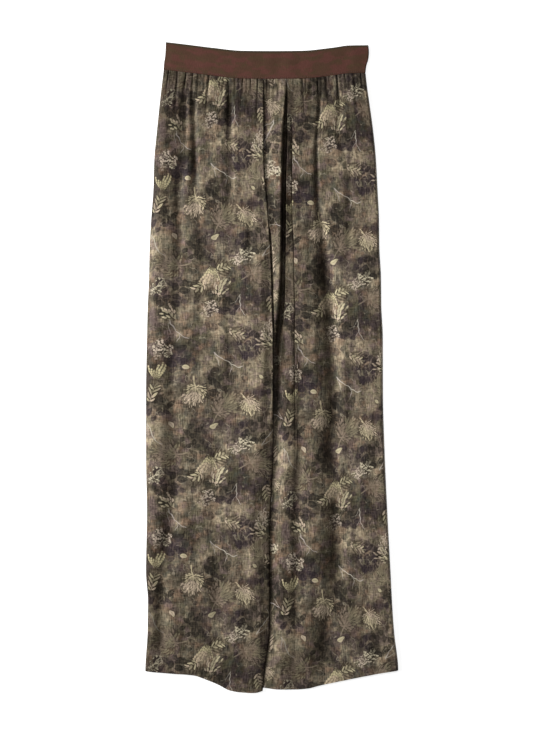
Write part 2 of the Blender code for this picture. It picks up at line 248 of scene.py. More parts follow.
def mixed(tree, share, below, above, way="MIX"):
    """One colour laid over another, as far as the share says."""
    node = tree.nodes.new("ShaderNodeMix")
    node.data_type = "RGBA"
    node.blend_type = way
    feed(tree, node.inputs[0], share)
    feed(tree, node.inputs[6], below)
    feed(tree, node.inputs[7], above)
    return node.outputs[2]


def joined_grey(tree, ink):
    """An ink as a grey colour."""
    node = tree.nodes.new("ShaderNodeCombineColor")
    for socket in node.inputs:
        feed(tree, socket, ink)
    return node.outputs[0]


def painted_shade_attribute(tree):
    """How much painted shade the mesh gives each point, 0 to 1."""
    node = tree.nodes.new("ShaderNodeAttribute")
    node.attribute_name = "painted_shade"
    return Ink(tree, node.outputs["Fac"])


def raise_threads(tree, shader, height, distance, strength):
    """Gives the surface the relief of its threads."""
    node = tree.nodes.new("ShaderNodeBump")
    node.inputs["Distance"].default_value = distance
    node.inputs["Strength"].default_value = strength
    feed(tree, node.inputs["Height"], height)
    tree.links.new(node.outputs[0], shader.inputs["Normal"])


def nearest_motif(tree, place, motifs):
    """Places measured from the motif that each point lies in, where 1 is the end of its reach,
    and that motif's own start, which makes its grains unlike those of the others.

    The repeat is wrapped round each motif's middle in turn, so a motif may cross its edge.
    """
    chosen, start = None, None
    for number, motif in enumerate(motifs):
        away = vector_step(tree, "SUBTRACT", place, (motif.across, motif.up, 0.0))
        half = REPEAT / 2.0
        away = vector_step(tree, "WRAP", away, (half, half, 1.0), (-half, -half, -1.0))
        steep, level = np.sin(np.radians(motif.turn)), np.cos(np.radians(motif.turn))
        along = vector_step(tree, "DOT_PRODUCT", away, (level / motif.reach, steep / motif.reach, 0.0))
        aside = vector_step(tree, "DOT_PRODUCT", away, (-steep / motif.reach, level / motif.reach, 0.0))
        own, own_start = joined(tree, Ink(tree, along), Ink(tree, aside)), (7.3 * number, 3.9 * number, 0.0)
        if chosen is None:
            chosen, start = own, own_start
            continue
        inside = Ink(tree, vector_step(tree, "LENGTH", own)).step("LESS_THAN", 1.0)
        chosen = picked(tree, inside, chosen, own)
        start = picked(tree, inside, start, own_start)
    return chosen, start


def picked(tree, share, first, second):
    """The first place where the share is 0 and the second where it is 1."""
    node = tree.nodes.new("ShaderNodeMix")
    node.data_type = "VECTOR"
    feed(tree, node.inputs[0], share)
    feed(tree, node.inputs[4], first)
    feed(tree, node.inputs[5], second)
    return node.outputs[1]


# The nearest grain: how far its middle lies and which way, in grain sizes, where that middle is
# in the measures of the place that was asked for, and two chances of the grain's own
Grain = namedtuple("Grain", "distance off across up chance other_chance")


def grains(tree, place, across, up, start=(0.0, 0.0, 0.0), even=0.3):
    """Grains of about the given size, scattered over the cloth; even is how regularly they lie."""
    node = tree.nodes.new("ShaderNodeTexVoronoi")
    node.voronoi_dimensions = "2D"
    node.inputs["Scale"].default_value = 1.0
    node.inputs["Randomness"].default_value = 1.0 - even
    counted = vector_step(tree, "MULTIPLY", place, (1 / across, 1 / up, 0.0))
    counted = vector_step(tree, "ADD", counted, start)
    feed(tree, node.inputs["Vector"], counted)
    off = vector_step(tree, "SUBTRACT", counted, node.outputs["Position"])
    middle = vector_step(tree, "SUBTRACT", node.outputs["Position"], start)
    middle_across, middle_up = two_ways(tree, middle)
    chances = two_chances(tree, node.outputs["Color"])
    return Grain(
        Ink(tree, node.outputs["Distance"]), off, middle_across * across, middle_up * up, *chances
    )


def streaks(tree, place, across, up, detail=2.0):
    """Soft noise whose marks are about the given size."""
    node = tree.nodes.new("ShaderNodeTexNoise")
    node.noise_dimensions = "2D"
    node.inputs["Scale"].default_value = 1.0
    node.inputs["Detail"].default_value = detail
    feed(tree, node.inputs["Vector"], vector_step(tree, "MULTIPLY", place, (1 / across, 1 / up, 1)))
    return Ink(tree, node.outputs[0])


def round_about(tree, along, aside):
    """The way out from a motif's middle, and the angle round it."""
    out = Ink(tree, vector_step(tree, "LENGTH", joined(tree, along, aside)))
    return out, aside.step("ARCTAN2", along)


# Each motif below takes places measured from its middle and its own start, which some don't need,
# and gives how strongly it is printed and how dark the ground right under it is


def spray(tree, place, start):
    """A stem with leaflets in pairs that lean to its tip, longest in the middle.

    Places are sheared along the stem by their distance from it, so that each slanting leaflet
    lies on one line across. The nearest line and the distance from it give the leaflet's oval.
    """
    pitch, lean, tip = 0.42, 0.62, 0.94
    along, aside = two_ways(tree, place)
    chance = two_ways(tree, start)[0]
    aside = aside + along * along * (chance.step("SINE") * 0.34)
    off_stem = abs(aside)
    other_side = aside.step("GREATER_THAN", 0.0)
    line = along - off_stem * lean - off_stem * off_stem * 0.35 + other_side * (0.42 * pitch) - 0.06
    root = (line / pitch).step("ROUND") * pitch
    off_line = abs(line - root)
    length = (chance * 2.3).step("SINE") * 0.10 + 0.54 - (root + 0.10).step("POWER", 2.0) * 0.34
    share = (off_stem - 0.03) / length
    oval = (share * (1.0 - share)).step("MAXIMUM", 0.0).step("SQRT") * (0.80 * pitch)
    on_stem = abs(root + 0.02).step("LESS_THAN", tip - 0.10)
    inside = oval - off_line
    stem = off_stem.rise(0.050, 0.020) * abs(along).step("LESS_THAN", tip)
    rib = off_line.rise(0.05, 0.01) * 0.25
    fresh = (root * 17.0 + other_side * 2.0 + chance).step("SINE") * 0.22 + 0.78
    leaflets = inside.rise(0.0, 0.07) * on_stem * (1.0 - rib) * fresh
    under = (inside.rise(-0.22, -0.02) * on_stem).step("MAXIMUM", stem)
    return leaflets.step("MAXIMUM", stem * 0.45), under


def strokes(tree, place, size, start, foot, long, wide):
    """Short oval strokes scattered evenly, each pointing away from a foot behind the motif.

    Gives how far out of its stroke a point lies (1 is its rim), how far from the motif's middle
    that stroke is, and the stroke's grain, with its two chances.
    """
    grain = grains(tree, place, size, size, start, 0.25)
    turned = tree.nodes.new("ShaderNodeVectorRotate")
    turned.rotation_type = "Z_AXIS"
    turned.invert = True
    feed(tree, turned.inputs["Vector"], grain.off)
    feed(tree, turned.inputs["Angle"], grain.up.step("ARCTAN2", grain.across + foot))
    along, aside = two_ways(tree, turned.outputs[0])
    out = Ink(tree, vector_step(tree, "LENGTH", joined(tree, along / long, aside / wide)))
    from_middle = Ink(tree, vector_step(tree, "LENGTH", joined(tree, grain.across, grain.up * 1.15)))
    return out, from_middle, grain


def leaf_cluster(tree, place, start):
    """Small whole leaflets that spread from the foot of a stem, some of them fainter."""
    out, from_middle, leaf = strokes(tree, place, 0.34, start, 0.85, 0.66, 0.30)
    kept = (from_middle + leaf.chance * 0.30).rise(0.98, 0.94)
    pale = out.rise(1.0, 0.72) * (leaf.other_chance * 0.50 + 0.55)
    along, aside = two_ways(tree, place)
    stem = abs(aside + along * along * 0.15).rise(0.045, 0.015) * abs(along + 0.35).rise(0.62, 0.56)
    return (pale * kept).step("MAXIMUM", stem * 0.6), out.rise(1.5, 0.9) * kept * 0.8


def umbel(tree, place, start):
    """A round head of very many short strokes that point away from the end of a bowed stalk.

    Two sizes of stroke lie over each other, and a faint halo round the finer ones fills the head.
    """
    head = vector_step(tree, "SUBTRACT", place, (0.16, 0.0, 0.0))
    out, from_middle, stroke = strokes(tree, head, 0.165, start, 0.55, 0.74, 0.27)
    kept = (from_middle + stroke.chance * 0.22).rise(0.86, 0.80)
    finer, its_middle, fine = strokes(tree, head, 0.13, (5.7, 2.3, 0.0), 0.55, 0.66, 0.26)
    fine_kept = (its_middle + fine.chance * 0.40).rise(0.90, 0.84)
    drawn = out.rise(1.0, 0.70) * (stroke.other_chance * 0.50 + 0.50) * kept
    drawn = drawn.step("MAXIMUM", finer.rise(1.0, 0.70) * fine_kept * (fine.other_chance * 0.5 + 0.3))
    drawn = drawn.step("MAXIMUM", finer.rise(2.2, 0.8) * its_middle.rise(0.80, 0.30) * 0.55)
    along, aside = two_ways(tree, place)
    bowed = abs(aside + (along - 0.10).step("POWER", 2.0) * 0.30)
    stalk = bowed.rise(0.050, 0.020) * along.rise(0.10, 0.0) * along.rise(-0.98, -0.88)
    under = from_middle.rise(0.95, 0.70) * 0.75
    return drawn.step("MAXIMUM", stalk * 0.8), under


def tuft(tree, place, start):
    """Feathery fronds from one foot, each of its own length, with beads of leaflets along it.

    A frond is a line at a fixed angle round the foot. A faint wash lies round its outer part.
    """
    along, aside = two_ways(tree, place)
    out, angle = round_about(tree, along + 0.85, aside)
    spacing = 0.21
    counted = angle / spacing + 0.3
    number = counted.step("ROUND")
    chance = (number * 5.1).step("SINE") * 0.5 + 0.5
    length = 1.05 + chance * 0.62
    off_frond = abs(counted - number) * out * spacing
    beads = abs((out * 15.0 + chance * 9.0).step("SINE"))
    half_width = (beads * 0.075 + 0.018) * out.rise(0.10, 0.60)
    frond = (half_width - off_frond).rise(-0.01, 0.03) * (length - out).rise(0.0, 0.06)
    drawn = frond * abs(angle).rise(0.62, 0.58) * (chance * 0.25 + 0.75)
    wash = (0.11 - off_frond).rise(-0.02, 0.06) * (length - out).rise(0.05, 0.30) * out.rise(0.55, 0.95)
    drawn = drawn.step("MAXIMUM", wash * abs(angle).rise(0.62, 0.45) * 0.45)
    under = (0.075 - off_frond).rise(-0.04, 0.02) * (length - out).rise(-0.05, 0.06)
    return drawn, under * abs(angle).rise(0.66, 0.58) * 0.8


def floret_sprig(tree, place, start):
    """A lacy sprig: thin rays from one end, with small blooms scattered over them."""
    along, aside = two_ways(tree, place)
    out, angle = round_about(tree, along + 0.62, aside)
    cluster = grains(tree, place, 0.40, 0.34, start, 0.1)
    kept = (cluster.across * cluster.across + cluster.up * cluster.up * 1.7).rise(0.66, 0.56)
    patch = cluster.distance.rise(0.80, 0.52) * kept * cluster.chance.rise(0.08, 0.14)
    ray = grains(tree, joined(tree, angle, out * 0.35), 0.20, 0.20, start, 0.1)
    bloom = grains(tree, place, 0.15, 0.12, start, 0.1)
    blooms = bloom.distance.rise(0.58, 0.30) * bloom.chance.rise(0.20, 0.50)
    rays = ray.distance.rise(0.30, 0.12) * 0.85
    return patch * blooms.step("MAXIMUM", rays), patch * 0.5


def twig(tree, place, start):
    """A bare twig: a straight stem that hooks round at its end, with two thinner side shoots."""
    along, aside = two_ways(tree, place)
    crooked = streaks(tree, vector_step(tree, "ADD", place, start), 0.45, 0.45, 1.0) - 0.5
    aside = aside + crooked * 0.16

    def line(wanted, first, last, width):
        """A line along a wanted course, from first to last along the motif."""
        off = abs(aside - wanted)
        ends = along.rise(first, first + 0.10) * along.rise(last, last - 0.10)
        return off.rise(width, 0.40 * width) * ends

    stem = line(along * 0.08 + 0.10, -0.95, 0.25, 0.040)
    hook = line((along - 0.15).step("POWER", 2.0) * 0.85 + 0.12, 0.15, 0.85, 0.035)
    shoot = line((along + 0.90) * -0.50 + 0.06, -0.92, -0.05, 0.028) * 0.7
    fork = line((along - 0.18) * -0.85 + 0.12, 0.14, 0.62, 0.028) * 0.7
    drawn = stem.step("MAXIMUM", hook).step("MAXIMUM", shoot).step("MAXIMUM", fork)
    return drawn, drawn * 0.3


def single_leaf(tree, place, start):
    """One small oval leaf with a pointed end, and its midrib."""
    along, aside = two_ways(tree, place)
    oval = (1.0 - along * along) * (0.58 - along * 0.18)
    leaf = (oval - abs(aside)).rise(0.0, 0.16)
    rib = abs(aside).rise(0.12, 0.03) * 0.35
    return leaf * (1.0 - rib), (oval - abs(aside - 0.10)).rise(-0.25, 0.0) * 0.6


def dark_bed(tree, place, start):
    """A bed of broad leaves, each turned its own way, and the deep shade between them."""
    leaf = grains(tree, place, 0.40, 0.40, start, 0.30)
    turned = tree.nodes.new("ShaderNodeVectorRotate")
    turned.rotation_type = "Z_AXIS"
    feed(tree, turned.inputs["Vector"], leaf.off)
    feed(tree, turned.inputs["Angle"], leaf.chance * 6.3)
    along, aside = two_ways(tree, turned.outputs[0])
    reach = 0.54 + leaf.other_chance * 0.20
    along = along / reach
    half_width = (1.0 - along * along) * (0.62 + along * 0.22) * reach
    inside = half_width - abs(aside)
    spread = (leaf.across * leaf.across + leaf.up * leaf.up * 1.3).step("SQRT")
    kept = spread.rise(0.90, 0.86)
    vein = 1.0 - abs(aside).rise(0.08, 0.02) * 0.25
    round_bed = Ink(tree, vector_step(tree, "LENGTH", place))
    leaves = inside.rise(0.0, 0.05) * vein * kept * (leaf.other_chance * 0.25 + 0.75)
    return leaves, round_bed.rise(0.95, 0.35) * 0.26


def scattered_leaves(tree, place, cells, chance, start):
    """Rounded leaves, one in some of the cells that the repeat is divided into.

    Each cell's own chance, shift, turn, size and strength come from white noise on its wrapped
    number, so the pattern still repeats.
    """
    size = REPEAT / cells
    shifted = vector_step(tree, "ADD", place, (start * size, start * size * 0.7, 0.0))
    counted = vector_step(tree, "DIVIDE", shifted, (size, size, 1.0))
    cell = vector_step(tree, "FLOOR", counted)
    wrapped = vector_step(tree, "WRAP", cell, (cells, cells, 1.0), (0.0, 0.0, -1.0))
    dice = tree.nodes.new("ShaderNodeTexWhiteNoise")
    dice.noise_dimensions = "3D"
    feed(tree, dice.inputs["Vector"], vector_step(tree, "ADD", wrapped, (start, 7.3 * start, start)))
    across, up = two_ways(tree, vector_step(tree, "SUBTRACT", counted, cell))
    shift_across, shift_up = two_chances(tree, dice.outputs["Color"])
    across = across - 0.5 - (shift_across - 0.5) * 0.30
    up = up - 0.5 - (shift_up - 0.5) * 0.30
    turned = tree.nodes.new("ShaderNodeVectorRotate")
    turned.rotation_type = "Z_AXIS"
    feed(tree, turned.inputs["Vector"], joined(tree, across, up))
    feed(tree, turned.inputs["Angle"], (shift_across + shift_up) * 9.4)
    along, aside = two_ways(tree, turned.outputs[0])
    luck = Ink(tree, dice.outputs["Value"])
    reach = 0.27 + shift_up * 0.14
    along = along / reach
    half_width = (1.0 - along * along) * (0.70 + along * 0.26) * reach
    leaf = (half_width - abs(aside)).rise(-0.01, 0.05)
    vein = 1.0 - abs(aside).rise(0.035, 0.010) * 0.35
    return leaf * vein * (chance - luck).rise(0.0, 0.02) * (shift_across * 0.5 + 0.5)


def printed_satin():
    """The cloth's material: the ground, the dark leaves, then the pale motifs, each over the last, and
    painted shade over all.
    """
    dark_khaki, khaki, light_khaki = dye(65, 57, 46), dye(109, 98, 82), dye(164, 149, 124)
    rust, olive, mauve, slate = dye(130, 103, 84), dye(90, 88, 68), dye(116, 98, 96), dye(60, 66, 62)
    brown_shadow, aubergine_shadow = dye(52, 47, 41), dye(59, 49, 52)
    brown_leaf, aubergine_leaf = dye(46, 42, 37), dye(53, 45, 48)
    pale_grass, motif_shadow, painted_shade_colour = dye(176, 164, 142), dye(56, 48, 40), dye(18, 12, 6)

    material, tree, shader = new_material("printed_satin")
    cut = tree.nodes.new("ShaderNodeUVMap")
    cut.uv_map = "flat_cut"
    place = cut.outputs[0]

    # Noise read on two circles, one across and one up, comes round again after one repeat
    across, up = two_ways(tree, place)
    ring = REPEAT / (2.0 * np.pi)
    turn_across = across * (1.0 / ring)
    turn_up = up * (1.0 / ring)
    ring_place = joined(
        tree,
        turn_across.step("COSINE") * ring,
        turn_across.step("SINE") * ring,
        turn_up.step("COSINE") * ring,
    )
    ring_rest = turn_up.step("SINE") * ring

    def ring_noise(size, detail, start, rough=0.55):
        """Soft patches of about the given size, which repeat with the print."""
        node = tree.nodes.new("ShaderNodeTexNoise")
        node.noise_dimensions = "4D"
        node.inputs["Scale"].default_value = 1.0 / size
        node.inputs["Detail"].default_value = detail
        node.inputs["Roughness"].default_value = rough
        feed(tree, node.inputs["Vector"], vector_step(tree, "ADD", ring_place, (start, 2.0 * start, 0.0)))
        feed(tree, node.inputs["W"], ring_rest)
        return node

    def clouds(size, detail, start, rough=0.55):
        """How strong that noise is."""
        return Ink(tree, ring_noise(size, detail, start, rough).outputs[0])

    # The ground: dark, middle and light khaki, with rust, olive, mauve and slate tints
    tone = clouds(0.060, 1.0, 0.0) * 0.52 + clouds(0.016, 4.0, 1.7, 0.60) * 0.48
    tone = tone + (turn_up - 2.0 * np.pi * LIGHT_ROW / REPEAT).step("COSINE") * 0.024
    colour = mixed(tree, tone.rise(0.36, 0.50), dark_khaki, khaki)
    colour = mixed(tree, tone.rise(0.47, 0.61) * 0.95, colour, light_khaki)
    hue = clouds(0.022, 2.0, 3.1)
    colour = mixed(tree, hue.rise(0.52, 0.62) * 0.46, colour, rust)
    colour = mixed(tree, hue.rise(0.47, 0.37) * 0.46, colour, olive)
    cool = clouds(0.018, 2.0, 5.3)
    colour = mixed(tree, cool.rise(0.52, 0.63) * 0.52, colour, mauve)
    colour = mixed(tree, cool.rise(0.46, 0.36) * 0.42, colour, slate)

    # Soft dark patches, then scattered leaves, then the beds of dark leaves. The motifs' places
    # drift by up to 5 mm, which makes their outlines less regular.
    drift_across, drift_up = two_chances(tree, ring_noise(0.016, 1.0, 14.9).outputs["Color"])
    drawn_place = joined(tree, across + (drift_across - 0.5) * 0.010, up + (drift_up - 0.5) * 0.010)
    shadow = clouds(0.045, 3.0, 7.9, 0.55)
    aubergine = clouds(0.055, 0.0, 17.3).rise(0.44, 0.56)
    dark = mixed(tree, aubergine, brown_shadow, aubergine_shadow)
    colour = mixed(tree, shadow.rise(0.51, 0.60) * 0.62, colour, dark)
    for cells, start in ((12, 0.5), (17, 6.1)):
        chance = shadow.rise(0.42, 0.52) * 0.45 + 0.10
        leaves = scattered_leaves(tree, place, cells, chance, start)
        colour = mixed(tree, leaves * 0.84, colour, dark)
    own_place, start = nearest_motif(tree, drawn_place, DARK_BEDS)
    leaves, shade = dark_bed(tree, own_place, start)
    colour = mixed(tree, shade, colour, dark)
    colour = mixed(tree, leaves * 0.88, colour, mixed(tree, aubergine, brown_leaf, aubergine_leaf))

    # Short thick and thin yarns of the weave, as on linen
    upright = streaks(tree, place, 0.0017, 0.014)
    level = streaks(tree, place, 0.012, 0.0019)
    fleck = streaks(tree, place, 0.0034, 0.0040)
    linen = upright * 0.60 + level * 0.35 + fleck * 0.35
    linen = linen.step("MULTIPLY_ADD", 3.0, -0.95)
    colour = mixed(tree, 1.0, colour, joined_grey(tree, linen), "MULTIPLY")

    # Hair-thin grasses: the lines along which a noise passes its middle, broken up by another
    hair = abs(clouds(0.026, 2.0, 31.7) - 0.5).rise(0.014, 0.003)
    broken = clouds(0.012, 1.0, 33.1)
    colour = mixed(tree, hair * broken.rise(0.50, 0.60) * 0.40, colour, pale_grass)
    colour = mixed(tree, hair * broken.rise(0.46, 0.36) * 0.55, colour, dark)

    # The pale motifs, printed thinner in worn patches and pinker in rosy ones
    worn = clouds(0.016, 2.0, 12.2).rise(0.30, 0.48) * 0.50 + 0.50
    rosy = clouds(0.020, 1.0, 21.7).rise(0.44, 0.56)
    for motifs, shape, strength, pale, pink in (
        (FAINT_UMBELS, umbel, 0.50, dye(176, 165, 134), dye(178, 158, 138)),
        (FLORETS, floret_sprig, 0.95, dye(200, 189, 162), dye(200, 183, 164)),
        (TWIGS, twig, 0.80, dye(190, 182, 166), dye(190, 178, 170)),
        (UMBELS, umbel, 0.95, dye(210, 195, 160), dye(208, 188, 163)),
        (SPRAYS, spray, 0.92, dye(206, 194, 158), dye(208, 188, 163)),
        (TUFTS, tuft, 0.94, dye(204, 192, 152), dye(208, 188, 158)),
        (LEAF_CLUSTERS, leaf_cluster, 0.95, dye(206, 194, 160), dye(206, 186, 162)),
        (SINGLE_LEAVES, single_leaf, 0.84, dye(198, 186, 152), dye(200, 182, 158)),
    ):
        own_place, start = nearest_motif(tree, drawn_place, motifs)
        inside = Ink(tree, vector_step(tree, "LENGTH", own_place)).rise(1.0, 0.94)
        drawn, under = shape(tree, own_place, start)
        colour = mixed(tree, under * inside * 0.75, colour, motif_shadow)
        colour = mixed(tree, drawn * inside * worn * strength, colour, mixed(tree, rosy, pale, pink))

    # Painted shade: the colour goes towards a near black brown in the cloth's creases, folds, seams and
    # other shaded places
    colour = mixed(tree, painted_shade_attribute(tree) * 0.85, colour, painted_shade_colour)
    feed(tree, shader.inputs["Base Color"], colour)
    shader.inputs["Roughness"].default_value = 0.50
    shader.inputs["Specular IOR Level"].default_value = 0.03
    raise_threads(tree, shader, upright * 0.6 + level * 0.4, 0.0004, 0.5)
    return material


satin = printed_satin()

LENGTH = 1.105  # highest point of the waist to the lowest point of the hem
BAND_DEPTH = 0.0476
CLOTH_WALL = 0.0012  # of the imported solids
SEAM_GAP = 0.0003
LAYER = CLOTH_WALL + SEAM_GAP
CLOTH = 0.00045  # the satin itself
HEM_DEPTH = 0.020
HEM_THICKER = 0.8  # how much thicker the cloth is where the hem is turned up
OVERLAP = 0.016  # of the right leg over the left one, below the crotch
BACK_SET_IN = 0.0015  # the right back ends this far inside the right front's edge
LIFT_RUN = 0.030  # the right leg climbs onto the left one over this width
LIFT_MARGIN = 0.004  # and is up this far before the left leg begins
LIFT_FROM, LIFT_TO = 0.268, 0.328  # down the garment, where that climb starts and is whole
SPLIT_TO = 0.396  # where the legs lie over each other by the whole overlap
HEM_REACH = 0.120  # rows bend to the hem's curve over this height
WAIST_REACH = 0.100
BACK_GATHER_SPACING = 0.0125
BACK_WALL_MOST = 0.0008
BACK_EDGE_HEIGHT = 0.00075  # how high the outer side turns up at a side seam

Section = namedtuple("Section", "down right_side seam fold left_side")
SECTIONS = (
    Section(0.050, -0.1841, -0.0138, 0.0360, 0.1590),
    Section(0.075, -0.1872, -0.0138, 0.0360, 0.1618),
    Section(0.100, -0.1901, -0.0138, 0.0357, 0.1654),
    Section(0.150, -0.1952, -0.0136, 0.0355, 0.1722),
    Section(0.200, -0.1998, -0.0134, 0.0355, 0.1771),
    Section(0.250, -0.2013, -0.0105, 0.0355, 0.1797),
    Section(0.300, -0.2050, -0.0058, 0.0360, 0.1822),
    Section(0.350, -0.2077, -0.0022, 0.0383, 0.1829),
    Section(0.400, -0.2088, 0.0000, 0.0388, 0.1856),
    Section(0.450, -0.2110, 0.0010, 0.0405, 0.1862),
    Section(0.500, -0.2122, 0.0026, 0.0398, 0.1887),
    Section(0.600, -0.2139, 0.0026, 0.0405, 0.1890),
    Section(0.700, -0.2139, 0.0026, 0.0411, 0.1919),
    Section(0.800, -0.2122, -0.0022, 0.0411, 0.1964),
    Section(0.900, -0.2139, -0.0031, 0.0411, 0.2018),
    Section(0.950, -0.2105, -0.0031, 0.0411, 0.2043),
    Section(1.000, -0.2111, -0.0037, 0.0405, 0.2077),
    Section(1.070, -0.2150, -0.0121, 0.0380, 0.2150),
    Section(1.105, -0.2150, -0.0158, 0.0370, 0.2150),
)
Edge = namedtuple("Edge", "x down")
WAIST = (
    Edge(-0.1840, -0.0005),
    Edge(-0.1425, 0.0044),
    Edge(-0.1017, 0.0095),
    Edge(-0.0507, 0.0146),
    Edge(0.0000, 0.0151),
    Edge(0.0513, 0.0146),
    Edge(0.1023, 0.0095),
    Edge(0.1330, 0.0055),
    Edge(0.1640, 0.0051),
)
LEGS_FROM = BAND_DEPTH + WAIST[4].down
RIGHT_HEM = (
    Edge(-0.2150, 1.0686),
    Edge(-0.1731, 1.0720),
    Edge(-0.1323, 1.0754),
    Edge(-0.1119, 1.0822),
    Edge(-0.0915, 1.0907),
    Edge(-0.0711, 1.1009),
    Edge(-0.0507, 1.1043),
    Edge(-0.0303, 1.1050),
    Edge(-0.0100, 1.1000),
)
LEFT_HEM = (
    Edge(-0.0350, 1.0955),
    Edge(-0.0139, 1.0967),
    Edge(0.0105, 1.0992),
    Edge(0.0411, 1.0992),
    Edge(0.0615, 1.0975),
    Edge(0.0819, 1.0924),
    Edge(0.1227, 1.0839),
    Edge(0.1737, 1.0737),
    Edge(0.2150, 1.0669),
)


def ease(share):
    """0 up to a share of 0, 1 from a share of 1, and a smooth S between them."""
    share = np.clip(share, 0.0, 1.0)
    return share * share * (3.0 - 2.0 * share)


def hump(distance, half_width):
    """1 on a line, falling smoothly to 0 at half_width on either side of it."""
    return ease(1.0 - np.abs(distance) / half_width)


def through(at, known, values):
    """A smooth curve through the values at the known places: cubic pieces, never overshooting."""
    known, values, at = (np.asarray(given, float) for given in (known, values, at))
    run = np.diff(known)
    slope = np.diff(values) / run
    turning = slope[:-1] * slope[1:] <= 0.0
    both = np.where(turning, 1.0, slope[:-1] + slope[1:])
    inner = np.where(turning, 0.0, 2.0 * slope[:-1] * slope[1:] / both)
    tangent = np.concatenate([slope[:1], inner, slope[-1:]])
    at = np.clip(at, known[0], known[-1])
    piece = np.clip(np.searchsorted(known, at, side="right") - 1, 0, len(run) - 1)
    share = (at - known[piece]) / run[piece]
    blend = ease(share)
    pull = share * (1.0 - share) * run[piece]
    return (
        values[piece] * (1.0 - blend)
        + values[piece + 1] * blend
        + pull * (tangent[piece] * (1.0 - share) - tangent[piece + 1] * share)
    )


def table_line(table, name, down):
    """A column of a table whose rows go down the garment, at each distance down."""
    return through(down, [row.down for row in table], [getattr(row, name) for row in table])


def edge_line(edge, x):
    """How far down an edge such as the waist or a hem lies, at each x."""
    return through(x, [point.x for point in edge], [point.down for point in edge])


def to_y(down):
    """A distance down the garment as a Y coordinate."""
    return LENGTH / 2.0 - down


def lifted(down):
    """0 where the legs are one flat tube, 1 where the right leg has climbed onto the left."""
    return ease((down - LIFT_FROM) / (LIFT_TO - LIFT_FROM))


def parted(down):
    """0 down to the crotch, 1 where the legs lie over each other by the whole overlap."""
    return ease((down - LIFT_TO) / (SPLIT_TO - LIFT_TO))


def right_climb(x, down):
    """How much higher than the floor the right leg lies, to clear the left leg under it."""
    start = table_line(SECTIONS, "seam", down) - OVERLAP - LIFT_MARGIN - LIFT_RUN
    return 2.0 * LAYER * lifted(down) * ease((x - start) / LIFT_RUN)


def uneven(x, down, width, length, start):
    """Smooth irregular rise and fall, mostly from -1 to 1: five sine waves of turned courses, about
    one width across and one length down from crest to crest, added up and divided by 3.2."""
    total = np.zeros(np.broadcast(x, down).shape)
    for wave in range(5):
        chance = (start * 0.7548 + wave * 0.6180) % 1.0
        across = (0.6 + 0.9 * chance) / width
        along = (2.0 * ((chance * 7.31) % 1.0) - 1.0) / length
        total += np.sin(2.0 * np.pi * (across * x + along * down + chance * 5.0))
    return total / 3.2


def columns(*lanes):
    """Each column's lane and its share of the way across it, for (columns, packing at both ends).

    A packing near 1 brings the columns closer together towards that end: the even share, less the
    first packing times share times (1 - share) cubed, plus the last times share cubed times
    (1 - share).
    """
    number, share = [], []
    for lane, (count, first, last) in enumerate(lanes):
        even = np.arange(count) / count
        packed = even - first * even * (1.0 - even) ** 3
        packed += last * even**3 * (1.0 - even)
        number.append(np.full(count, lane))
        share.append(packed)
    return np.append(np.concatenate(number), len(lanes) - 1), np.append(np.concatenate(share), 1.0)


def under_band(x):
    """How far down the legs begin under the waistband, at each x."""
    return edge_line(WAIST, x) + BAND_DEPTH + SEAM_GAP


def leg_grid(lanes, lane, share, row_count, hem):
    """x and distance down of a leg panel's points, rows x columns, and where columns start.

    lanes(down) gives the panel's lines across, from -X to +X, and a column keeps its share of the
    way between two of them. Rows follow the waist above and the hem below, closer together near
    the waist.
    """

    def across(down):
        lines = np.stack(np.broadcast_arrays(*lanes(down)))
        which = np.broadcast_to(lane, down.shape)[None]
        left = np.take_along_axis(lines, which, axis=0)[0]
        right = np.take_along_axis(lines, which + 1, axis=0)[0]
        return left + share * (right - left)

    starts = across(np.full((1, len(lane)), LEGS_FROM))[0]
    start_down = under_band(starts)
    mean_hem = np.mean([point.down for point in hem])
    leg_length = mean_hem - LEGS_FROM
    even = np.linspace(0.0, 1.0, row_count)[:, None]
    below = leg_length * (0.35 * even + 0.65 * even * even)
    near_waist = ease(1.0 - below / WAIST_REACH)
    near_hem = ease(1.0 - (leg_length - below) / HEM_REACH)
    x = np.broadcast_to(starts, (row_count, len(starts)))
    for _ in range(4):
        bend = (start_down - LEGS_FROM) * near_waist + (edge_line(hem, x) - mean_hem) * near_hem
        down = LEGS_FROM + below + bend
        x = across(down)
    return x, down, starts


# Where on the print the left end of a panel's lowest row is cut
Place = namedtuple("Place", "across up")


def on_flat_cut(x, down, z, width, pleated, place, faces_down=False):
    """Where on the print each point of a panel lies.

    The way across is measured over the cloth itself, so the print goes down into the folds and
    is drawn together in the gathers. pleated is how much more cloth lies in each place. A panel
    that faces down is read the other way round.
    """
    step = np.hypot(np.diff(x, axis=1), np.diff(z, axis=1))
    step = step * (1.0 + 0.5 * (pleated[:, 1:] + pleated[:, :-1]))
    way = np.concatenate([np.zeros((len(x), 1)), np.cumsum(step, axis=1)], axis=1)
    share = way / way[:, -1:]
    if faces_down:
        share = 1.0 - share
    return np.stack([place.across + width * share, LENGTH - down + place.up], axis=-1)


def placed(name, data):
    """A new object of the scene, from its mesh, lamp or camera."""
    thing = bpy.data.objects.new(name, data)
    bpy.context.scene.collection.objects.link(thing)
    return thing


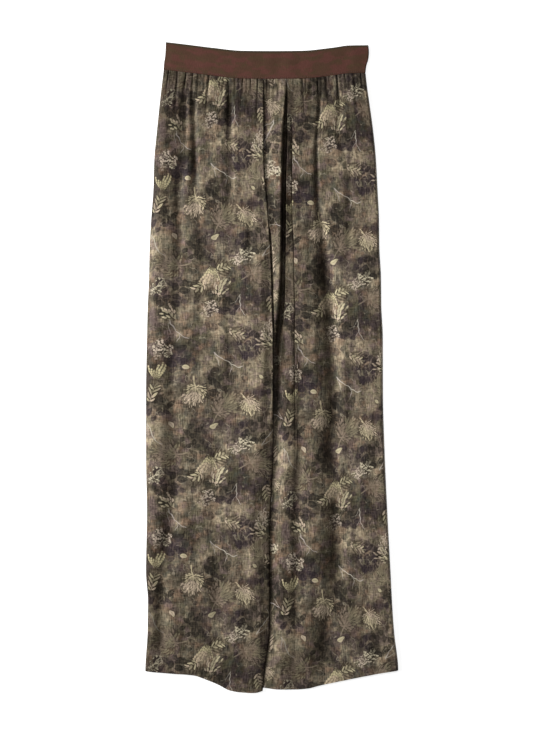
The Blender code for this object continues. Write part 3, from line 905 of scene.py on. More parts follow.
def cloth_shell(name, face, wall, cut, painted_shade, material):
    """A closed shell of cloth over a grid of points.

    face holds its outer side, rows x columns x 3, ordered so that a step down crossed with a step
    to the next column points outwards. The inner side is that grid moved in by the wall.
    """
    normal = np.cross(np.gradient(face, axis=0), np.gradient(face, axis=1))
    normal /= np.linalg.norm(normal, axis=2, keepdims=True)
    inner = face - np.broadcast_to(wall, face.shape[:2])[..., None] * normal
    rows, count = face.shape[:2]
    index = np.arange(rows * count).reshape(rows, count)
    outer_faces = np.stack(
        [index[:-1, :-1], index[1:, :-1], index[1:, 1:], index[:-1, 1:]], axis=-1
    ).reshape(-1, 4)
    border = np.concatenate([index[:-1, 0], index[-1, :-1], index[:0:-1, -1], index[0, :0:-1]])
    after = np.roll(border, -1)
    rim = np.stack([after, border, border + index.size, after + index.size], axis=1)
    faces = np.concatenate([outer_faces, outer_faces[:, ::-1] + index.size, rim])
    points = np.concatenate([face.reshape(-1, 3), inner.reshape(-1, 3)])
    points[:, 2] = np.maximum(points[:, 2], 0.0)
    mesh = bpy.data.meshes.new(name)
    mesh.from_pydata(points.tolist(), [], faces.tolist())
    corner_points = np.zeros(len(mesh.loops), np.int32)
    mesh.loops.foreach_get("vertex_index", corner_points)
    flat = np.concatenate([cut.reshape(-1, 2)] * 2)
    mesh.uv_layers.new(name="flat_cut").data.foreach_set("uv", flat[corner_points].ravel())
    # The painted shade, 0 to 1, kept as a point attribute that the materials darken the colour by
    depth = mesh.attributes.new("painted_shade", "FLOAT", "POINT")
    depth.data.foreach_set("value", np.concatenate([painted_shade.ravel()] * 2).astype(np.float32))
    mesh.materials.append(material)
    mesh.shade_smooth()
    mesh.set_sharp_from_angle(angle=np.radians(62.0))
    mesh.update()
    piece = placed(name, mesh)
    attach(piece, "root")
    return piece


def leg_piece(name, face, wall, cut, painted_shade, node, flat, rests_on):
    """A leg panel's shell of printed satin, in place of its solid."""
    piece = cloth_shell(name, face, wall, cut, painted_shade, satin)
    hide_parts(node)


def rounded_down(height, low, distance, radius):
    """Heights that turn down to a low edge: a quarter of an ellipse over the last radius."""
    rounding = np.sqrt(1.0 - (1.0 - np.clip(distance / radius, 0.0, 1.0)) ** 2)
    return low + (height - low) * rounding


def back_leg(name, lanes, packing, hem, lowest, side, print_place, node, flat, rests_on):
    """A back panel. Its outer side faces down: shallow troughs rise from the floor into the wall.

    The gathers are a raised cosine wave across, squared, and each has its own length.
    """
    lane, share = columns((112, *packing))
    x, down, starts = leg_grid(lanes, lane, share, 230, hem)
    below = down - LEGS_FROM
    spacing = BACK_GATHER_SPACING
    course = starts + 0.25 * spacing * np.sin(starts * 430.0)
    gather = 0.5 + 0.5 * np.cos(2.0 * np.pi * course / spacing)
    reach = 0.055 + 0.035 * np.sin(starts * 611.0)
    gathered = gather**2 * ease(1.0 - below / reach)
    soft = ease(0.5 + 0.9 * uneven(x, down, 0.075, 0.9, 2.0)) * ease(below / 0.08)
    trough = 0.00055 * gathered + 0.00042 * soft + 0.00012 * (1 + uneven(x, down, 0.02, 0.25, 5.0))
    from_edge = np.abs(x - table_line(SECTIONS, side, down))
    z = lowest(x, down) + trough * ease(from_edge / 0.006)
    z = rounded_down(z, lowest(x, down) + BACK_EDGE_HEIGHT, from_edge, 0.0016)
    wall = CLOTH * (1.0 + HEM_THICKER * (down > edge_line(hem, x) - HEM_DEPTH))
    wall = np.minimum(wall, BACK_WALL_MOST)
    cut = on_flat_cut(x, down, z, flat[0], 0.35 * gathered, print_place, faces_down=True)
    face = np.stack([x, to_y(down), z], axis=-1)
    # Painted shade in the gathers and the soft troughs
    painted_shade = 0.35 * gathered + 0.25 * soft
    outwards = (grid[:, ::-1] for grid in (face, wall, cut, painted_shade))
    leg_piece(name, *outwards, node, flat, rests_on)


def left_back_lanes(down):
    """The left back's inner edge and side, at each distance down."""
    inner = table_line(SECTIONS, "seam", down) - OVERLAP + SEAM_GAP
    return inner, table_line(SECTIONS, "left_side", down)


def right_back_lanes(down):
    """The right back's side and inner edge, at each distance down."""
    seam = table_line(SECTIONS, "seam", down)
    inner = seam - OVERLAP + (OVERLAP - BACK_SET_IN) * parted(down)
    return table_line(SECTIONS, "right_side", down), inner


back_leg(
    "left_back_cloth",
    left_back_lanes,
    packing=(0.0, 1.0),
    hem=LEFT_HEM,
    lowest=lambda x, down: np.zeros_like(x),
    side="left_side",
    print_place=Place(0.02, 0.11),
    node="back_leg_left",
    flat=(0.247, 1.060),
    rests_on=["floor"],
)
back_leg(
    "right_back_cloth",
    right_back_lanes,
    packing=(1.0, 0.0),
    hem=RIGHT_HEM,
    lowest=right_climb,
    side="right_side",
    print_place=Place(0.19, 0.27),
    node="back_leg_right",
    flat=(0.240, 1.060),
    rests_on=["floor", "left_front_cloth"],
)


# ---- The right front leg --------------------------------------------------------------------
# The printed satin panel that the photo shows best, from the waistband to a narrow plain hem. It is
# gathered onto the ribbon. Its inner edge is sewn to the left front down to the crotch, then turns
# under as the inside leg and lies on the left leg.

# How high the cloth stands over the back panel, between its folds
Loft = namedtuple("Loft", "down height")
LOFTS = (
    Loft(0.050, 0.0026),
    Loft(0.110, 0.0046),
    Loft(0.300, 0.0072),
    Loft(0.560, 0.0082),
    Loft(0.850, 0.0076),
    Loft(1.000, 0.0054),
    Loft(1.095, 0.0024),
)
SIDE_SEAM_HEIGHT = 0.0010  # where front and back meet along a side
RIGHT_SIDE_RISE = 0.015
INSIDE_LEG_ROLL = 0.021  # the radius over which the inside leg rolls under, low on the leg
ROLL_FROM, ROLL_TO = 0.600, 0.740

Gather = namedtuple("Gather", "x reach depth")
RIGHT_GATHERS = (
    Gather(-0.1765, 0.120, 0.0010),
    Gather(-0.1612, 0.120, 0.0019),
    Gather(-0.1459, 0.060, 0.0020),
    Gather(-0.1348, 0.120, 0.0016),
    Gather(-0.1246, 0.100, 0.0013),
    Gather(-0.1068, 0.110, 0.0024),
    Gather(-0.0932, 0.130, 0.0007),
    Gather(-0.0823, 0.080, 0.0008),
    Gather(-0.0730, 0.140, 0.0022),
    Gather(-0.0626, 0.100, 0.0011),
    Gather(-0.0490, 0.140, 0.0008),
    Gather(-0.0354, 0.060, 0.0010),
    Gather(-0.0235, 0.130, 0.0014),
)
# A long soft fold: the line of its bottom, the widths of its two walls, and its depth. A ridge
# has a negative depth.
Fold = namedtuple("Fold", "down x left right depth")
RIGHT_FOLDS = (
    (
        Fold(0.070, -0.1440, 0.012, 0.005, 0.0000),
        Fold(0.098, -0.1450, 0.020, 0.006, 0.0034),
        Fold(0.132, -0.1462, 0.025, 0.008, 0.0042),
        Fold(0.186, -0.1475, 0.029, 0.010, 0.0048),
        Fold(0.263, -0.1548, 0.030, 0.014, 0.0050),
        Fold(0.339, -0.1575, 0.030, 0.016, 0.0050),
        Fold(0.416, -0.1595, 0.028, 0.020, 0.0040),
        Fold(0.506, -0.1650, 0.026, 0.022, 0.0028),
        Fold(0.608, -0.1685, 0.025, 0.024, 0.0038),
        Fold(0.722, -0.1650, 0.030, 0.026, 0.0048),
        Fold(0.798, -0.1710, 0.029, 0.024, 0.0052),
        Fold(0.875, -0.1790, 0.027, 0.026, 0.0054),
        Fold(0.951, -0.1880, 0.024, 0.024, 0.0046),
        Fold(1.050, -0.1880, 0.024, 0.024, 0.0022),
    ),
    (
        Fold(0.240, -0.0330, 0.010, 0.010, 0.0000),
        Fold(0.320, -0.0345, 0.014, 0.011, 0.0018),
        Fold(0.420, -0.0330, 0.012, 0.010, 0.0000),
    ),
    (
        Fold(0.075, -0.1312, 0.008, 0.005, 0.0000),
        Fold(0.110, -0.1312, 0.012, 0.006, 0.0042),
        Fold(0.186, -0.1300, 0.014, 0.008, 0.0044),
        Fold(0.300, -0.1235, 0.016, 0.012, 0.0014),
        Fold(0.430, -0.1180, 0.014, 0.012, 0.0016),
        Fold(0.540, -0.1240, 0.012, 0.012, 0.0000),
    ),
    (
        Fold(0.062, -0.0700, 0.008, 0.006, 0.0000),
        Fold(0.120, -0.0690, 0.015, 0.007, 0.0030),
        Fold(0.190, -0.0700, 0.016, 0.010, 0.0024),
        Fold(0.340, -0.0700, 0.020, 0.016, 0.0008),
        Fold(0.500, -0.0735, 0.020, 0.016, 0.0018),
        Fold(0.620, -0.0760, 0.018, 0.016, 0.0010),
        Fold(0.730, -0.0980, 0.026, 0.026, 0.0020),
        Fold(0.900, -0.0940, 0.026, 0.026, 0.0014),
        Fold(1.060, -0.0980, 0.024, 0.024, 0.0016),
    ),
    (
        Fold(0.280, -0.0300, 0.050, 0.024, 0.0000),
        Fold(0.400, -0.0210, 0.056, 0.018, -0.0030),
        Fold(0.520, -0.0170, 0.056, 0.016, -0.0036),
        Fold(0.700, -0.0260, 0.056, 0.024, -0.0040),
        Fold(0.850, -0.0440, 0.052, 0.036, -0.0038),
        Fold(0.960, -0.0520, 0.050, 0.040, -0.0014),
        Fold(1.050, -0.0540, 0.050, 0.040, 0.0000),
    ),
)
ROUND_SHARE = 0.30  # the larger this is, the rounder the bottom of a fold


def soft_folds(folds, x, down):
    """How deep the long folds lie, and the painted shade on the wall of each that faces away from the light.

    Across a fold the depth is (1 - share of the wall) to the power 1.6: a V with a soft rim. To
    round its bottom the share becomes the root of (share squared + 0.30 squared), less 0.30, over
    what that gives at the rim. Each fold wanders a few mm off its line and swells as it goes.
    """
    total, shade = np.zeros_like(x), np.zeros_like(x)
    own_start = folds[0][0].x * 50.0  # so that the two legs' folds wander differently
    for number, fold in enumerate(folds):
        ends = ease((down - fold[0].down) / 0.03) * ease((fold[-1].down - down) / 0.03)
        wander = uneven(0.4 * x, down, 0.09, 0.13, 3.0 * number + own_start)
        distance = x - table_line(fold, "x", down) - 0.0030 * wander * ease((down - 0.15) / 0.15)
        left, right = table_line(fold, "left", down), table_line(fold, "right", down)
        away = np.abs(distance) / np.where(distance < 0.0, left, right)
        swell = 1.0 + 0.4 * uneven(0.3 * x, down, 0.1, 0.10, number)
        depth = table_line(fold, "depth", down) * ends * swell
        away = (np.sqrt(away**2 + ROUND_SHARE**2) - ROUND_SHARE) / (np.hypot(1.0, ROUND_SHARE) - ROUND_SHARE)
        total += depth * np.clip(1.0 - away, 0.0, 1.0) ** 1.6
        # Painted shade, centred on the left wall, which faces away from the light
        shaded = hump(distance / left + 0.22, 0.55)
        shade += np.clip(depth / 0.0060, 0.0, 1.0) * shaded
    return total, shade


def gathers(troughs, start_x, below):
    """Depth of the gathers: V-shaped troughs from the band that widen and fade as they go down.

    Between the main ones lie short fine puckers, set by steps of the golden ratio.
    """
    total = np.zeros_like(below)
    for i, trough in enumerate(troughs):
        lean = 0.05 * np.sin(i * 2.4)
        half_width = 0.0022 + 0.0032 * ease(below / 0.07)
        away = np.abs(start_x - trough.x - lean * below) / half_width
        fading = ease((trough.reach - below) / (0.9 * trough.reach))
        total += trough.depth * fading * np.clip(1.0 - away, 0.0, 1.0) ** 1.4
    first, last = troughs[0].x - 0.010, troughs[-1].x + 0.010
    for i in range(90):
        chance = (i * 0.6180 + 0.31) % 1.0
        x = first + (last - first) * ((i * 0.7548) % 1.0)
        fading = ease(1.0 - below / (0.012 + 0.050 * chance**2))
        total += (0.0001 + 0.0006 * chance) * fading * hump(start_x - x, 0.0014 + 0.0010 * chance)
    return total


def loft(down):
    """How far a front stands off its back in the middle of a leg."""
    return table_line(LOFTS, "height", down)


def fine_creases(x, down):
    """The small unevenness of laid cloth: broad soft waves, narrower ones and short faint ones."""
    broad = 0.00060 * uneven(x, down, 0.055, 0.50, 1.0) * ease((down - 0.10) / 0.15)
    narrow = 0.00026 * uneven(x, down, 0.022, 0.30, 6.0)
    return broad + narrow + 0.00012 * uneven(x, down, 0.010, 0.08, 3.0)


def hem_wall(down, hem, x):
    """The cloth's own thickness, nearly doubled where the hem is turned up."""
    return CLOTH * (1.0 + HEM_THICKER * ease((down - edge_line(hem, x) + 0.021) / 0.0015))


def right_front_lanes(down):
    """The right front's side and inner edge, at each distance down."""
    return table_line(SECTIONS, "right_side", down), table_line(SECTIONS, "seam", down)


lane, share = columns((158, 1.0, 1.0))
x, down, starts = leg_grid(right_front_lanes, lane, share, 285, RIGHT_HEM)
below = down - under_band(starts)
from_side = x - table_line(SECTIONS, "right_side", down)
from_seam = table_line(SECTIONS, "seam", down) - x
gathered = gathers(RIGHT_GATHERS, starts, below)
folded, shade = soft_folds(RIGHT_FOLDS, x, down)
standing = loft(down) * np.sqrt(ease(from_side / RIGHT_SIDE_RISE)) - folded - gathered
climb = right_climb(x, down)
standing = np.maximum(standing, climb) + fine_creases(x, down) * ease(from_side / 0.02)
top = LAYER + CLOTH_WALL + standing
under = 2.0 * LAYER + 0.0005
rolled = ease((down - ROLL_FROM) / (ROLL_TO - ROLL_FROM))
edge_low = top - 0.0009 + lifted(down) * (under - top + 0.0009)
edge_radius = 0.0018 + (INSIDE_LEG_ROLL - 0.0018) * rolled
z = rounded_down(top, SIDE_SEAM_HEIGHT, from_side, 0.0030)
z = rounded_down(z, edge_low, from_seam, edge_radius)

# Painted shade, 0 to 1: in gathers and folds and under the band, along the centre seam and inside
# leg, beside the side seam, and low on the leg
painted_shade = 0.44 * np.clip(gathered / 0.0022, 0.0, 1.0) + 0.70 * shade + 0.30 * ease(1.0 - below / 0.16)
painted_shade += 0.75 * hump(from_seam, 0.0026) + 0.30 * rolled * hump(from_seam, 0.010)
painted_shade += 0.26 * hump(from_side - 0.022, 0.034) * (ease((0.30 - down) / 0.12) + ease((down - 0.88) / 0.12))
painted_shade += hump(from_side, 0.024) * (0.38 + 0.32 * ease((down - 0.88) / 0.10))
painted_shade += 0.28 * hump(x + 0.112, 0.045) * ease((down - 0.99) / 0.06)
painted_shade += 0.32 * ease(1.0 - from_seam / 0.050) * ease((down - 0.84) / 0.12)
drawn_in = 0.6 * np.clip(gathered / 0.0024, 0.0, 1.0)
width = 0.205 + 0.006 * ease(down)
leg_piece(
    "right_front_cloth",
    np.stack([x, to_y(down), z], axis=-1),
    hem_wall(down, RIGHT_HEM, x),
    on_flat_cut(x, down, z, width, drawn_in, Place(0.0, 0.0)),
    np.clip(painted_shade, 0.0, 1.0),
    node="front_leg_right",
    flat=(0.215, 1.060),
    rests_on=["right_back_cloth"],
)


# ---- The left front leg ---------------------------------------------------------------------
# The other satin front. Beside the centre seam the cloth stands up in a rounded ridge, drops into
# a deep dark valley, shows as a flat strip and then goes under a long knife fold. Below the crotch
# its inside leg slides in under the right leg.

LEFT_SIDE_RISE = 0.0045
LEFT_GATHERS = (
    Gather(-0.0082, 0.120, 0.0008),
    Gather(0.0030, 0.060, 0.0010),
    Gather(0.0129, 0.080, 0.0010),
    Gather(0.0522, 0.090, 0.0020),
    Gather(0.0666, 0.050, 0.0008),
    Gather(0.0785, 0.100, 0.0016),
    Gather(0.0921, 0.070, 0.0018),
    Gather(0.1020, 0.050, 0.0006),
    Gather(0.1108, 0.120, 0.0026),
    Gather(0.1244, 0.050, 0.0006),
    Gather(0.1406, 0.120, 0.0017),
    Gather(0.1515, 0.070, 0.0009),
)
LEFT_FOLDS = (
    (
        Fold(0.062, 0.0850, 0.006, 0.004, 0.0000),
        Fold(0.098, 0.0835, 0.006, 0.003, 0.0020),
        Fold(0.140, 0.0788, 0.006, 0.003, 0.0023),
        Fold(0.186, 0.0765, 0.007, 0.004, 0.0024),
        Fold(0.263, 0.0785, 0.010, 0.008, 0.0024),
        Fold(0.339, 0.0850, 0.018, 0.016, 0.0044),
        Fold(0.416, 0.0970, 0.028, 0.026, 0.0066),
        Fold(0.492, 0.1010, 0.032, 0.024, 0.0074),
        Fold(0.569, 0.1050, 0.030, 0.020, 0.0080),
        Fold(0.645, 0.1040, 0.030, 0.024, 0.0076),
        Fold(0.722, 0.1060, 0.036, 0.032, 0.0066),
        Fold(0.798, 0.1110, 0.038, 0.038, 0.0070),
        Fold(0.875, 0.1120, 0.038, 0.030, 0.0076),
        Fold(0.951, 0.1060, 0.038, 0.030, 0.0070),
        Fold(1.028, 0.0900, 0.038, 0.034, 0.0052),
        Fold(1.090, 0.0860, 0.036, 0.034, 0.0000),
    ),
    (
        Fold(0.440, 0.0480, 0.016, 0.024, 0.0000),
        Fold(0.560, 0.0480, 0.020, 0.028, 0.0022),
        Fold(0.680, 0.0460, 0.022, 0.028, 0.0034),
        Fold(0.780, 0.0440, 0.022, 0.028, 0.0034),
        Fold(0.900, 0.0430, 0.022, 0.026, 0.0026),
        Fold(1.060, 0.0420, 0.020, 0.024, 0.0000),
    ),
    (
        Fold(0.080, 0.1120, 0.008, 0.006, 0.0000),
        Fold(0.150, 0.1135, 0.011, 0.008, 0.0018),
        Fold(0.230, 0.1320, 0.014, 0.010, 0.0012),
        Fold(0.340, 0.1350, 0.014, 0.010, 0.0014),
        Fold(0.430, 0.1250, 0.014, 0.010, 0.0000),
    ),
    (
        Fold(0.480, 0.1300, 0.016, 0.014, 0.0000),
        Fold(0.700, 0.1310, 0.020, 0.016, 0.0012),
        Fold(0.880, 0.1500, 0.022, 0.018, 0.0012),
        Fold(1.050, 0.1560, 0.022, 0.018, 0.0010),
    ),
)
# The valley's middle, its half width there and how much of the loft it takes away
Valley = namedtuple("Valley", "down x half_width depth")
VALLEY = (
    Valley(0.060, 0.0262, 0.0014, 0.30),
    Valley(0.098, 0.0250, 0.0024, 0.85),
    Valley(0.132, 0.0234, 0.0034, 1.00),
    Valley(0.166, 0.0228, 0.0046, 1.00),
    Valley(0.234, 0.0210, 0.0042, 1.00),
    Valley(0.302, 0.0204, 0.0042, 1.00),
    Valley(0.370, 0.0198, 0.0044, 1.00),
    Valley(0.438, 0.0180, 0.0052, 1.00),
    Valley(0.472, 0.0152, 0.0060, 1.00),
    Valley(0.506, 0.0118, 0.0064, 1.00),
    Valley(0.540, 0.0080, 0.0068, 1.00),
    Valley(0.574, 0.0056, 0.0058, 0.90),
    Valley(0.608, 0.0044, 0.0048, 0.65),
    Valley(0.676, 0.0034, 0.0036, 0.15),
    Valley(0.730, 0.0030, 0.0030, 0.00),
)
DROP_FROM = 0.308  # down the garment, where the left front starts to go down from the centre seam
RIDGE_HEIGHT = 0.0036
FOLD_WIDTH = 0.0025  # the strip of columns that makes the knife fold
FOLD_DEPTH = 0.0055  # how far the cloth goes under at the fold
FOLD_HEIGHT = 0.0021  # three layers, one on another
FOLD_REACH = 0.030


def within(start, full, fading, end, down):
    """1 from full to fading, easing to 0 at start and end."""
    return ease((down - start) / (full - start)) * ease((end - down) / (end - fading))


def dropped(down):
    """0 where the left front is still level with the centre seam, 1 where it is down."""
    return ease((down - DROP_FROM) / (LIFT_TO - DROP_FROM))


def left_front_lanes(down):
    """The left front's inner edge, valley, both sides of the knife fold, and side."""
    seam = table_line(SECTIONS, "seam", down)
    inner = seam + SEAM_GAP - (OVERLAP + SEAM_GAP) * parted(down)
    valley = np.maximum(table_line(VALLEY, "x", down), seam + 0.002)
    fold = table_line(SECTIONS, "fold", down)
    return inner, valley, fold - FOLD_WIDTH, fold, table_line(SECTIONS, "left_side", down)


lane, share = columns((34, 0.8, 0.0), (24, 0.0, 0.0), (16, 0.0, 0.0), (92, 0.0, 1.0))
x, down, starts = leg_grid(left_front_lanes, lane, share, 280, LEFT_HEM)
below = down - under_band(starts)
seam = table_line(SECTIONS, "seam", down)
fold = table_line(SECTIONS, "fold", down)
from_side = table_line(SECTIONS, "left_side", down) - x
gathered = gathers(LEFT_GATHERS, starts, below)
folded, shade = soft_folds(LEFT_FOLDS, x, down)
standing = loft(down) * (0.90 + 0.15 * ease((x - 0.11) / 0.06))
standing *= np.sqrt(ease(from_side / LEFT_SIDE_RISE))
standing = np.maximum(standing - folded - gathered, 0.0) + fine_creases(x, down) * ease(from_side / 0.02)

# The ridge beside the seam, and the valley: a soft wall on its left side, a steep one on its right
valley = table_line(VALLEY, "x", down)
half_width = table_line(VALLEY, "half_width", down)
sunk = table_line(VALLEY, "depth", down)
from_valley = (x - valley) / half_width
beside_seam = ease((x - seam) / np.maximum(0.65 * (valley - half_width - seam), 0.002))
ridge = RIDGE_HEIGHT * within(0.05, 0.11, 0.42, 0.50, down) * hump(x - valley + half_width, 0.019)
at_seam = 0.55 + 0.42 * ease((down - 0.22) / 0.08)
near_seam = at_seam + (1.0 - at_seam) * beside_seam
standing *= 1.0 + (near_seam - 1.0) * within(0.06, 0.12, 0.40, 0.49, down) * (x < valley)
standing += ridge * beside_seam
right_wall = 0.75 + 0.75 * ease((down - 0.47) / 0.07)
in_valley = ease((from_valley + 1.50) / 1.25) * ease((1.15 - from_valley) / right_wall) * sunk
standing *= 1.0 - in_valley

# The knife fold: going across, the strip runs in under the fold, turns back and comes over it
fold_strength = within(0.10, 0.19, 0.52, 0.80, down)
turn = np.where(lane == 2, share, np.where(lane > 2, 1.0, 0.0))
under = np.sin(np.pi * np.clip(turn / 0.86, 0.0, 1.0)) ** 2
x = x + FOLD_DEPTH * fold_strength * (under - 0.10 * hump(turn - 0.93, 0.12))
over = 0.46 * ease((turn - 0.30) / 0.26) + 0.54 * ease((turn - 0.72) / 0.28)
over = over * ease(1.0 - (x - fold) / FOLD_REACH)
standing += FOLD_HEIGHT * fold_strength * over

joined_share = 1.0 - dropped(down)
free_run = 0.0022 + 0.0198 * ease((down - 0.485) / 0.08)
beside_right_leg = ease((x - seam - 0.0008) / free_run)
standing *= joined_share + (1.0 - joined_share) * beside_right_leg
standing += 2.0 * LAYER * lifted(down) * joined_share * ease(1.0 - (x - seam) / 0.012)
top = LAYER + CLOTH_WALL + standing
z = rounded_down(top, SIDE_SEAM_HEIGHT, from_side, 0.0030)
z = rounded_down(z, top - 0.0009 * joined_share, x - seam - SEAM_GAP, 0.0018)

# Painted shade, 0 to 1: as on the right leg, and in the valley, beside it and under the knife fold
painted_shade = 0.44 * np.clip(gathered / 0.0022, 0.0, 1.0) + 0.90 * shade + 0.30 * ease(1.0 - below / 0.16)
low_part = ease((down - 0.47) / 0.07)
dark_valley = ease((1.60 + 1.6 * low_part - from_valley) / (0.95 + 1.6 * low_part))
dark_valley *= ease((from_valley + 1.40) / 1.00) * sunk
painted_shade += 0.97 * dark_valley + 0.60 * hump(x - seam, 0.0026)
painted_shade += 0.30 * within(0.26, 0.34, 0.50, 0.58, down) * ease((valley - x) / 0.002)
painted_shade += 0.46 * hump(x - 0.026, 0.044) * ease((down - 0.98) / 0.07)
painted_shade += 0.95 * fold_strength * hump(x - fold + 0.0014, 0.0036) * (turn < 0.5)
painted_shade += 0.20 * fold_strength * hump(x - fold + 0.006, 0.009) * (turn < 0.5)
drawn_in = 0.6 * np.clip(gathered / 0.0024, 0.0, 1.0)
width = 0.222 + 0.025 * ease(down)
leg_piece(
    "left_front_cloth",
    np.stack([x, to_y(down), z], axis=-1),
    hem_wall(down, LEFT_HEM, x),
    on_flat_cut(x, down, z, width, drawn_in, Place(0.285, 0.042)),
    np.clip(painted_shade, 0.0, 1.0),
    node="front_leg_left",
    flat=(0.235, 1.060),
    rests_on=["left_back_cloth"],
)


# ---- The waistband --------------------------------------------------------------------------
# Two lengths of brown ribbed ribbon, front and back, sewn together at the side seams and onto the
# gathered legs. The ribs run up and down across the ribbon, and its upper edge is a darker selvedge.

BAND_WALL = 0.0016
BandEnd = namedtuple("BandEnd", "down right_end left_end")
BAND_ENDS = (
    BandEnd(0.00, -0.1800, 0.1640),
    BandEnd(0.25, -0.1805, 0.1650),
    BandEnd(0.50, -0.1812, 0.1640),
    BandEnd(0.75, -0.1830, 0.1605),
    BandEnd(1.00, -0.1838, 0.1590),
)


def ribbed_ribbon():
    """The ribbon's material: fine ribs, a faint red and olive mottle, a darker selvedge along its upper
    edge, and painted shade at its ends and lower edge.
    """
    material, tree, shader = new_material("ribbed_ribbon")
    cut = tree.nodes.new("ShaderNodeUVMap")
    cut.uv_map = "flat_cut"
    place = cut.outputs[0]
    across, up = two_ways(tree, place)
    patches = streaks(tree, place, 0.030, 0.012, 3.0)
    colour = mixed(tree, patches.rise(0.42, 0.58), dye(85, 61, 48), dye(95, 61, 53))
    olive = streaks(tree, vector_step(tree, "ADD", place, (3.0, 1.0, 0.0)), 0.022, 0.010, 2.0)
    colour = mixed(tree, olive.rise(0.54, 0.68) * 0.6, colour, dye(81, 65, 46))
    rib = (across * (2.0 * np.pi / 0.0011)).step("SINE")
    yarn = streaks(tree, place, 0.0009, 0.006)
    shade = (rib * 0.05 + yarn * 0.5).step("ADD", 0.72)
    colour = mixed(tree, 1.0, colour, joined_grey(tree, shade), "MULTIPLY")
    edge = up.rise(BAND_DEPTH - 0.0045, BAND_DEPTH - 0.0022)
    colour = mixed(tree, edge * 0.85, colour, dye(66, 58, 44))
    # Painted shade from the mesh's attribute, at the ribbon's ends and along its lower edge
    colour = mixed(tree, painted_shade_attribute(tree) * 0.8, colour, dye(30, 24, 20))
    feed(tree, shader.inputs["Base Color"], colour)
    shader.inputs["Roughness"].default_value = 0.78
    shader.inputs["Specular IOR Level"].default_value = 0.06
    raise_threads(tree, shader, rib * 0.4 + yarn, 0.00025, 0.6)
    return material


ribbon = ribbed_ribbon()


def ribbon_rise(x, down, from_edges, from_ends):
    """How far the ribbon's face stands off its back: a slightly crowned strip, rounded at its rim."""
    crown = ease(from_edges / 0.012) * ease(from_ends / 0.012)
    wave = 0.5 + 0.5 * uneven(x, down, 0.040, 0.09, 4.0)
    rim = np.sqrt(1.0 - (1.0 - np.clip(np.minimum(from_edges, from_ends) / 0.0012, 0, 1)) ** 2)
    return 0.0003 + (0.0008 + 0.0005 * crown * wave) * rim


def waistband(name, low, faces_up, node):
    """A length of ribbon between the side seams."""
    across = np.linspace(0.0, 1.0, 330)[None, :]
    share_down = (0.5 - 0.5 * np.cos(np.pi * np.linspace(0.0, 1.0, 26)))[:, None]
    right_end = table_line(BAND_ENDS, "right_end", share_down)
    left_end = table_line(BAND_ENDS, "left_end", share_down)
    x = right_end + across * (left_end - right_end)
    down = edge_line(WAIST, x) + share_down * BAND_DEPTH
    from_ends = np.minimum(x - right_end, left_end - x)
    from_edges = BAND_DEPTH * np.minimum(share_down, 1.0 - share_down)
    outer = ribbon_rise(x, down, from_edges, from_ends)
    z = low + outer if faces_up else low + BAND_WALL - outer
    # Painted shade at the ribbon's ends and along its lower edge
    painted_shade = 0.55 * hump(from_ends, 0.0030) + 0.35 * hump(BAND_DEPTH * (1 - share_down), 0.0022)
    face = np.stack([x, to_y(down), z], axis=-1)
    cut = np.stack([x + 0.2, BAND_DEPTH * np.broadcast_to(1.0 - share_down, x.shape)], axis=-1)
    if not faces_up:
        face, cut, painted_shade = face[:, ::-1], cut[:, ::-1], painted_shade[:, ::-1]
    piece = cloth_shell(name, face, 0.0004, cut, painted_shade, ribbon)
    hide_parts(node)


waistband("back_ribbon", low=0.0, faces_up=False, node="waistband_back")
FRONT_LOW = BAND_WALL + SEAM_GAP
STITCH_ROW = 0.0030  # above the ribbon's lower edge
STITCH_PITCH = 0.0034
STITCH_LENGTH = 0.0025
THREAD = 0.00028  # its radius


def band_stitches():
    """The row of stitches that holds the ribbon to the legs: short threads, each bowed up out of
    the ribbon and back into it, with the radius rounded off at both ends."""
    first, last = BAND_ENDS[-1].right_end + 0.004, BAND_ENDS[-1].left_end - 0.004
    middle = np.arange(first, last, STITCH_PITCH)[:, None, None]
    along = np.linspace(-1.0, 1.0, 7)[None, :, None]
    turn = np.linspace(0.0, 2.0 * np.pi, 8, endpoint=False)[None, None, :]
    x = middle + 0.5 * STITCH_LENGTH * along
    down = edge_line(WAIST, x) + BAND_DEPTH - STITCH_ROW
    from_ends = np.minimum(x - first + 0.004, last + 0.004 - x)
    rise = ribbon_rise(x, down, np.full(x.shape, STITCH_ROW), from_ends)
    radius = THREAD * np.sqrt(1.0 - 0.96 * along**4)
    y = to_y(down) + radius * np.cos(turn)
    z = FRONT_LOW + rise + 0.0001 - 0.0002 * along**2 + 0.8 * radius * np.sin(turn)
    points = np.stack(np.broadcast_arrays(x, y, z), axis=-1)
    stitch, station, corner = points.shape[:3]
    index = np.arange(stitch * station * corner).reshape(stitch, station, corner)
    after = np.roll(index, -1, axis=2)
    sides = np.stack([index[:, :-1], after[:, :-1], after[:, 1:], index[:, 1:]], axis=-1)
    faces = sides.reshape(-1, 4).tolist()
    faces += index[:, 0, ::-1].tolist() + index[:, -1].tolist()
    mesh = bpy.data.meshes.new("band_stitching")
    mesh.from_pydata(points.reshape(-1, 3).tolist(), [], faces)
    mesh.shade_smooth()
    thread, tree, shader = new_material("band_thread")
    place = tree.nodes.new("ShaderNodeTexCoord").outputs["Object"]
    twist = streaks(tree, place, 0.0006, 0.0003, 1.0)
    feed(tree, shader.inputs["Base Color"], mixed(tree, twist, dye(44, 32, 26), dye(78, 52, 42)))
    shader.inputs["Roughness"].default_value = 0.7
    mesh.materials.append(thread)
    piece = placed("band_stitching", mesh)
    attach(piece, "root")
    return piece


stitching = band_stitches()
waistband(
    "front_ribbon",
    low=FRONT_LOW,
    faces_up=True,
    node="waistband_front",
)


# ---- Floor, light and camera ----------------------------------------------------------------
# A plain white floor that glows a little. Soft light comes low from the photo's left and a little
# from its top, with a soft box overhead and even light all round. The camera looks straight down
# and frames the garment as the photo does.

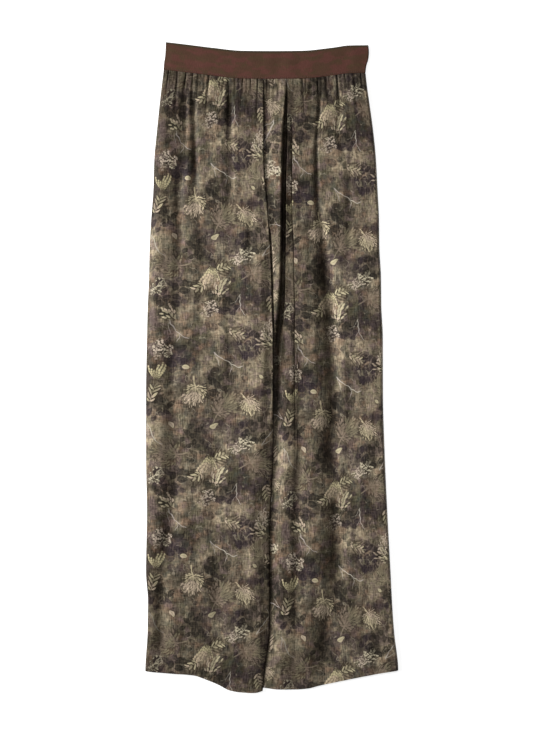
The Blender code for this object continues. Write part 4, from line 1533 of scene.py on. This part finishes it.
PIXEL = 0.0017  # a pixel of the photo, on the floor
PICTURE_HIGH = 733
CAMERA_HEIGHT = 2.60
MIDDLE = Vector((0.0054, 0.0015, 0.0))
FLOOR_HALF = 4.0
FLOOR_GAP = 0.0004  # between the floor and the cloth

corners = [(x * FLOOR_HALF, y * FLOOR_HALF, -FLOOR_GAP) for x, y in ((-1, -1), (1, -1), (1, 1), (-1, 1))]
floor_mesh = bpy.data.meshes.new("floor")
floor_mesh.from_pydata(corners, [], [(0, 1, 2, 3)])
white, _, backlit = new_material("white_floor")
backlit.inputs["Base Color"].default_value = (0.60, 0.60, 0.60, 1.0)
backlit.inputs["Roughness"].default_value = 0.9
backlit.inputs["Specular IOR Level"].default_value = 0.0
backlit.inputs["Emission Color"].default_value = (1.0, 1.0, 1.0, 1.0)
backlit.inputs["Emission Strength"].default_value = 0.80
floor_mesh.materials.append(white)
floor = placed("floor", floor_mesh)

# How bright each light makes a flat face in the garment's middle
SKY_LEVEL, WINDOW_LEVEL, SOFT_BOX_LEVEL, EVEN_LEVEL = 0.425, 0.39, 0.375, 0.12

world = bpy.data.worlds.new("studio")
world.use_nodes = True
world.node_tree.nodes["Background"].inputs["Color"].default_value = (1.0, 1.0, 1.0, 1.0)
world.node_tree.nodes["Background"].inputs["Strength"].default_value = EVEN_LEVEL
bpy.context.scene.world = world

KEY_HEIGHT = 22.0  # degrees above the floor
KEY_TURN = 14.0  # degrees from the photo's left towards its top
WINDOW_DISTANCE = 1.70

key_angles = (0.0, np.radians(KEY_HEIGHT - 90.0), np.radians(-KEY_TURN))
steep = np.sin(np.radians(KEY_HEIGHT))
level_way = np.cos(np.radians(KEY_HEIGHT))
away = Vector(
    (-level_way * np.cos(np.radians(KEY_TURN)), level_way * np.sin(np.radians(KEY_TURN)), steep)
)

sky_lamp = bpy.data.lights.new("left_sky", "SUN")
sky_lamp.angle = np.radians(28.0)
sky_lamp.energy = SKY_LEVEL * np.pi / steep
sky = placed("left_sky", sky_lamp)
sky.rotation_euler = key_angles

window_lamp = bpy.data.lights.new("left_window", "AREA")
window_lamp.size = 0.7
window_lamp.energy = WINDOW_LEVEL * np.pi**2 * WINDOW_DISTANCE**2 / steep
window = placed("left_window", window_lamp)
window.location = away * WINDOW_DISTANCE + Vector((0.0, 0.08, 0.0))
window.rotation_euler = key_angles

SOFT_BOX_HEIGHT = 0.80
soft_lamp = bpy.data.lights.new("soft_box", "AREA")
soft_lamp.size = 0.5
soft_lamp.energy = SOFT_BOX_LEVEL * np.pi * np.pi * SOFT_BOX_HEIGHT**2
soft_box = placed("soft_box", soft_lamp)
soft_box.location = (-0.06, 0.01, SOFT_BOX_HEIGHT)

camera_data = bpy.data.cameras.new("overhead_camera")
camera_data.sensor_width = 36.0
camera_data.lens = 0.5 * camera_data.sensor_width * CAMERA_HEIGHT / (0.5 * PICTURE_HIGH * PIXEL)
camera = placed("overhead_camera", camera_data)
camera.location = MIDDLE + Vector((0.0, 0.0, CAMERA_HEIGHT))
bpy.context.scene.camera = camera
bpy.context.scene.view_settings.view_transform = "Standard"
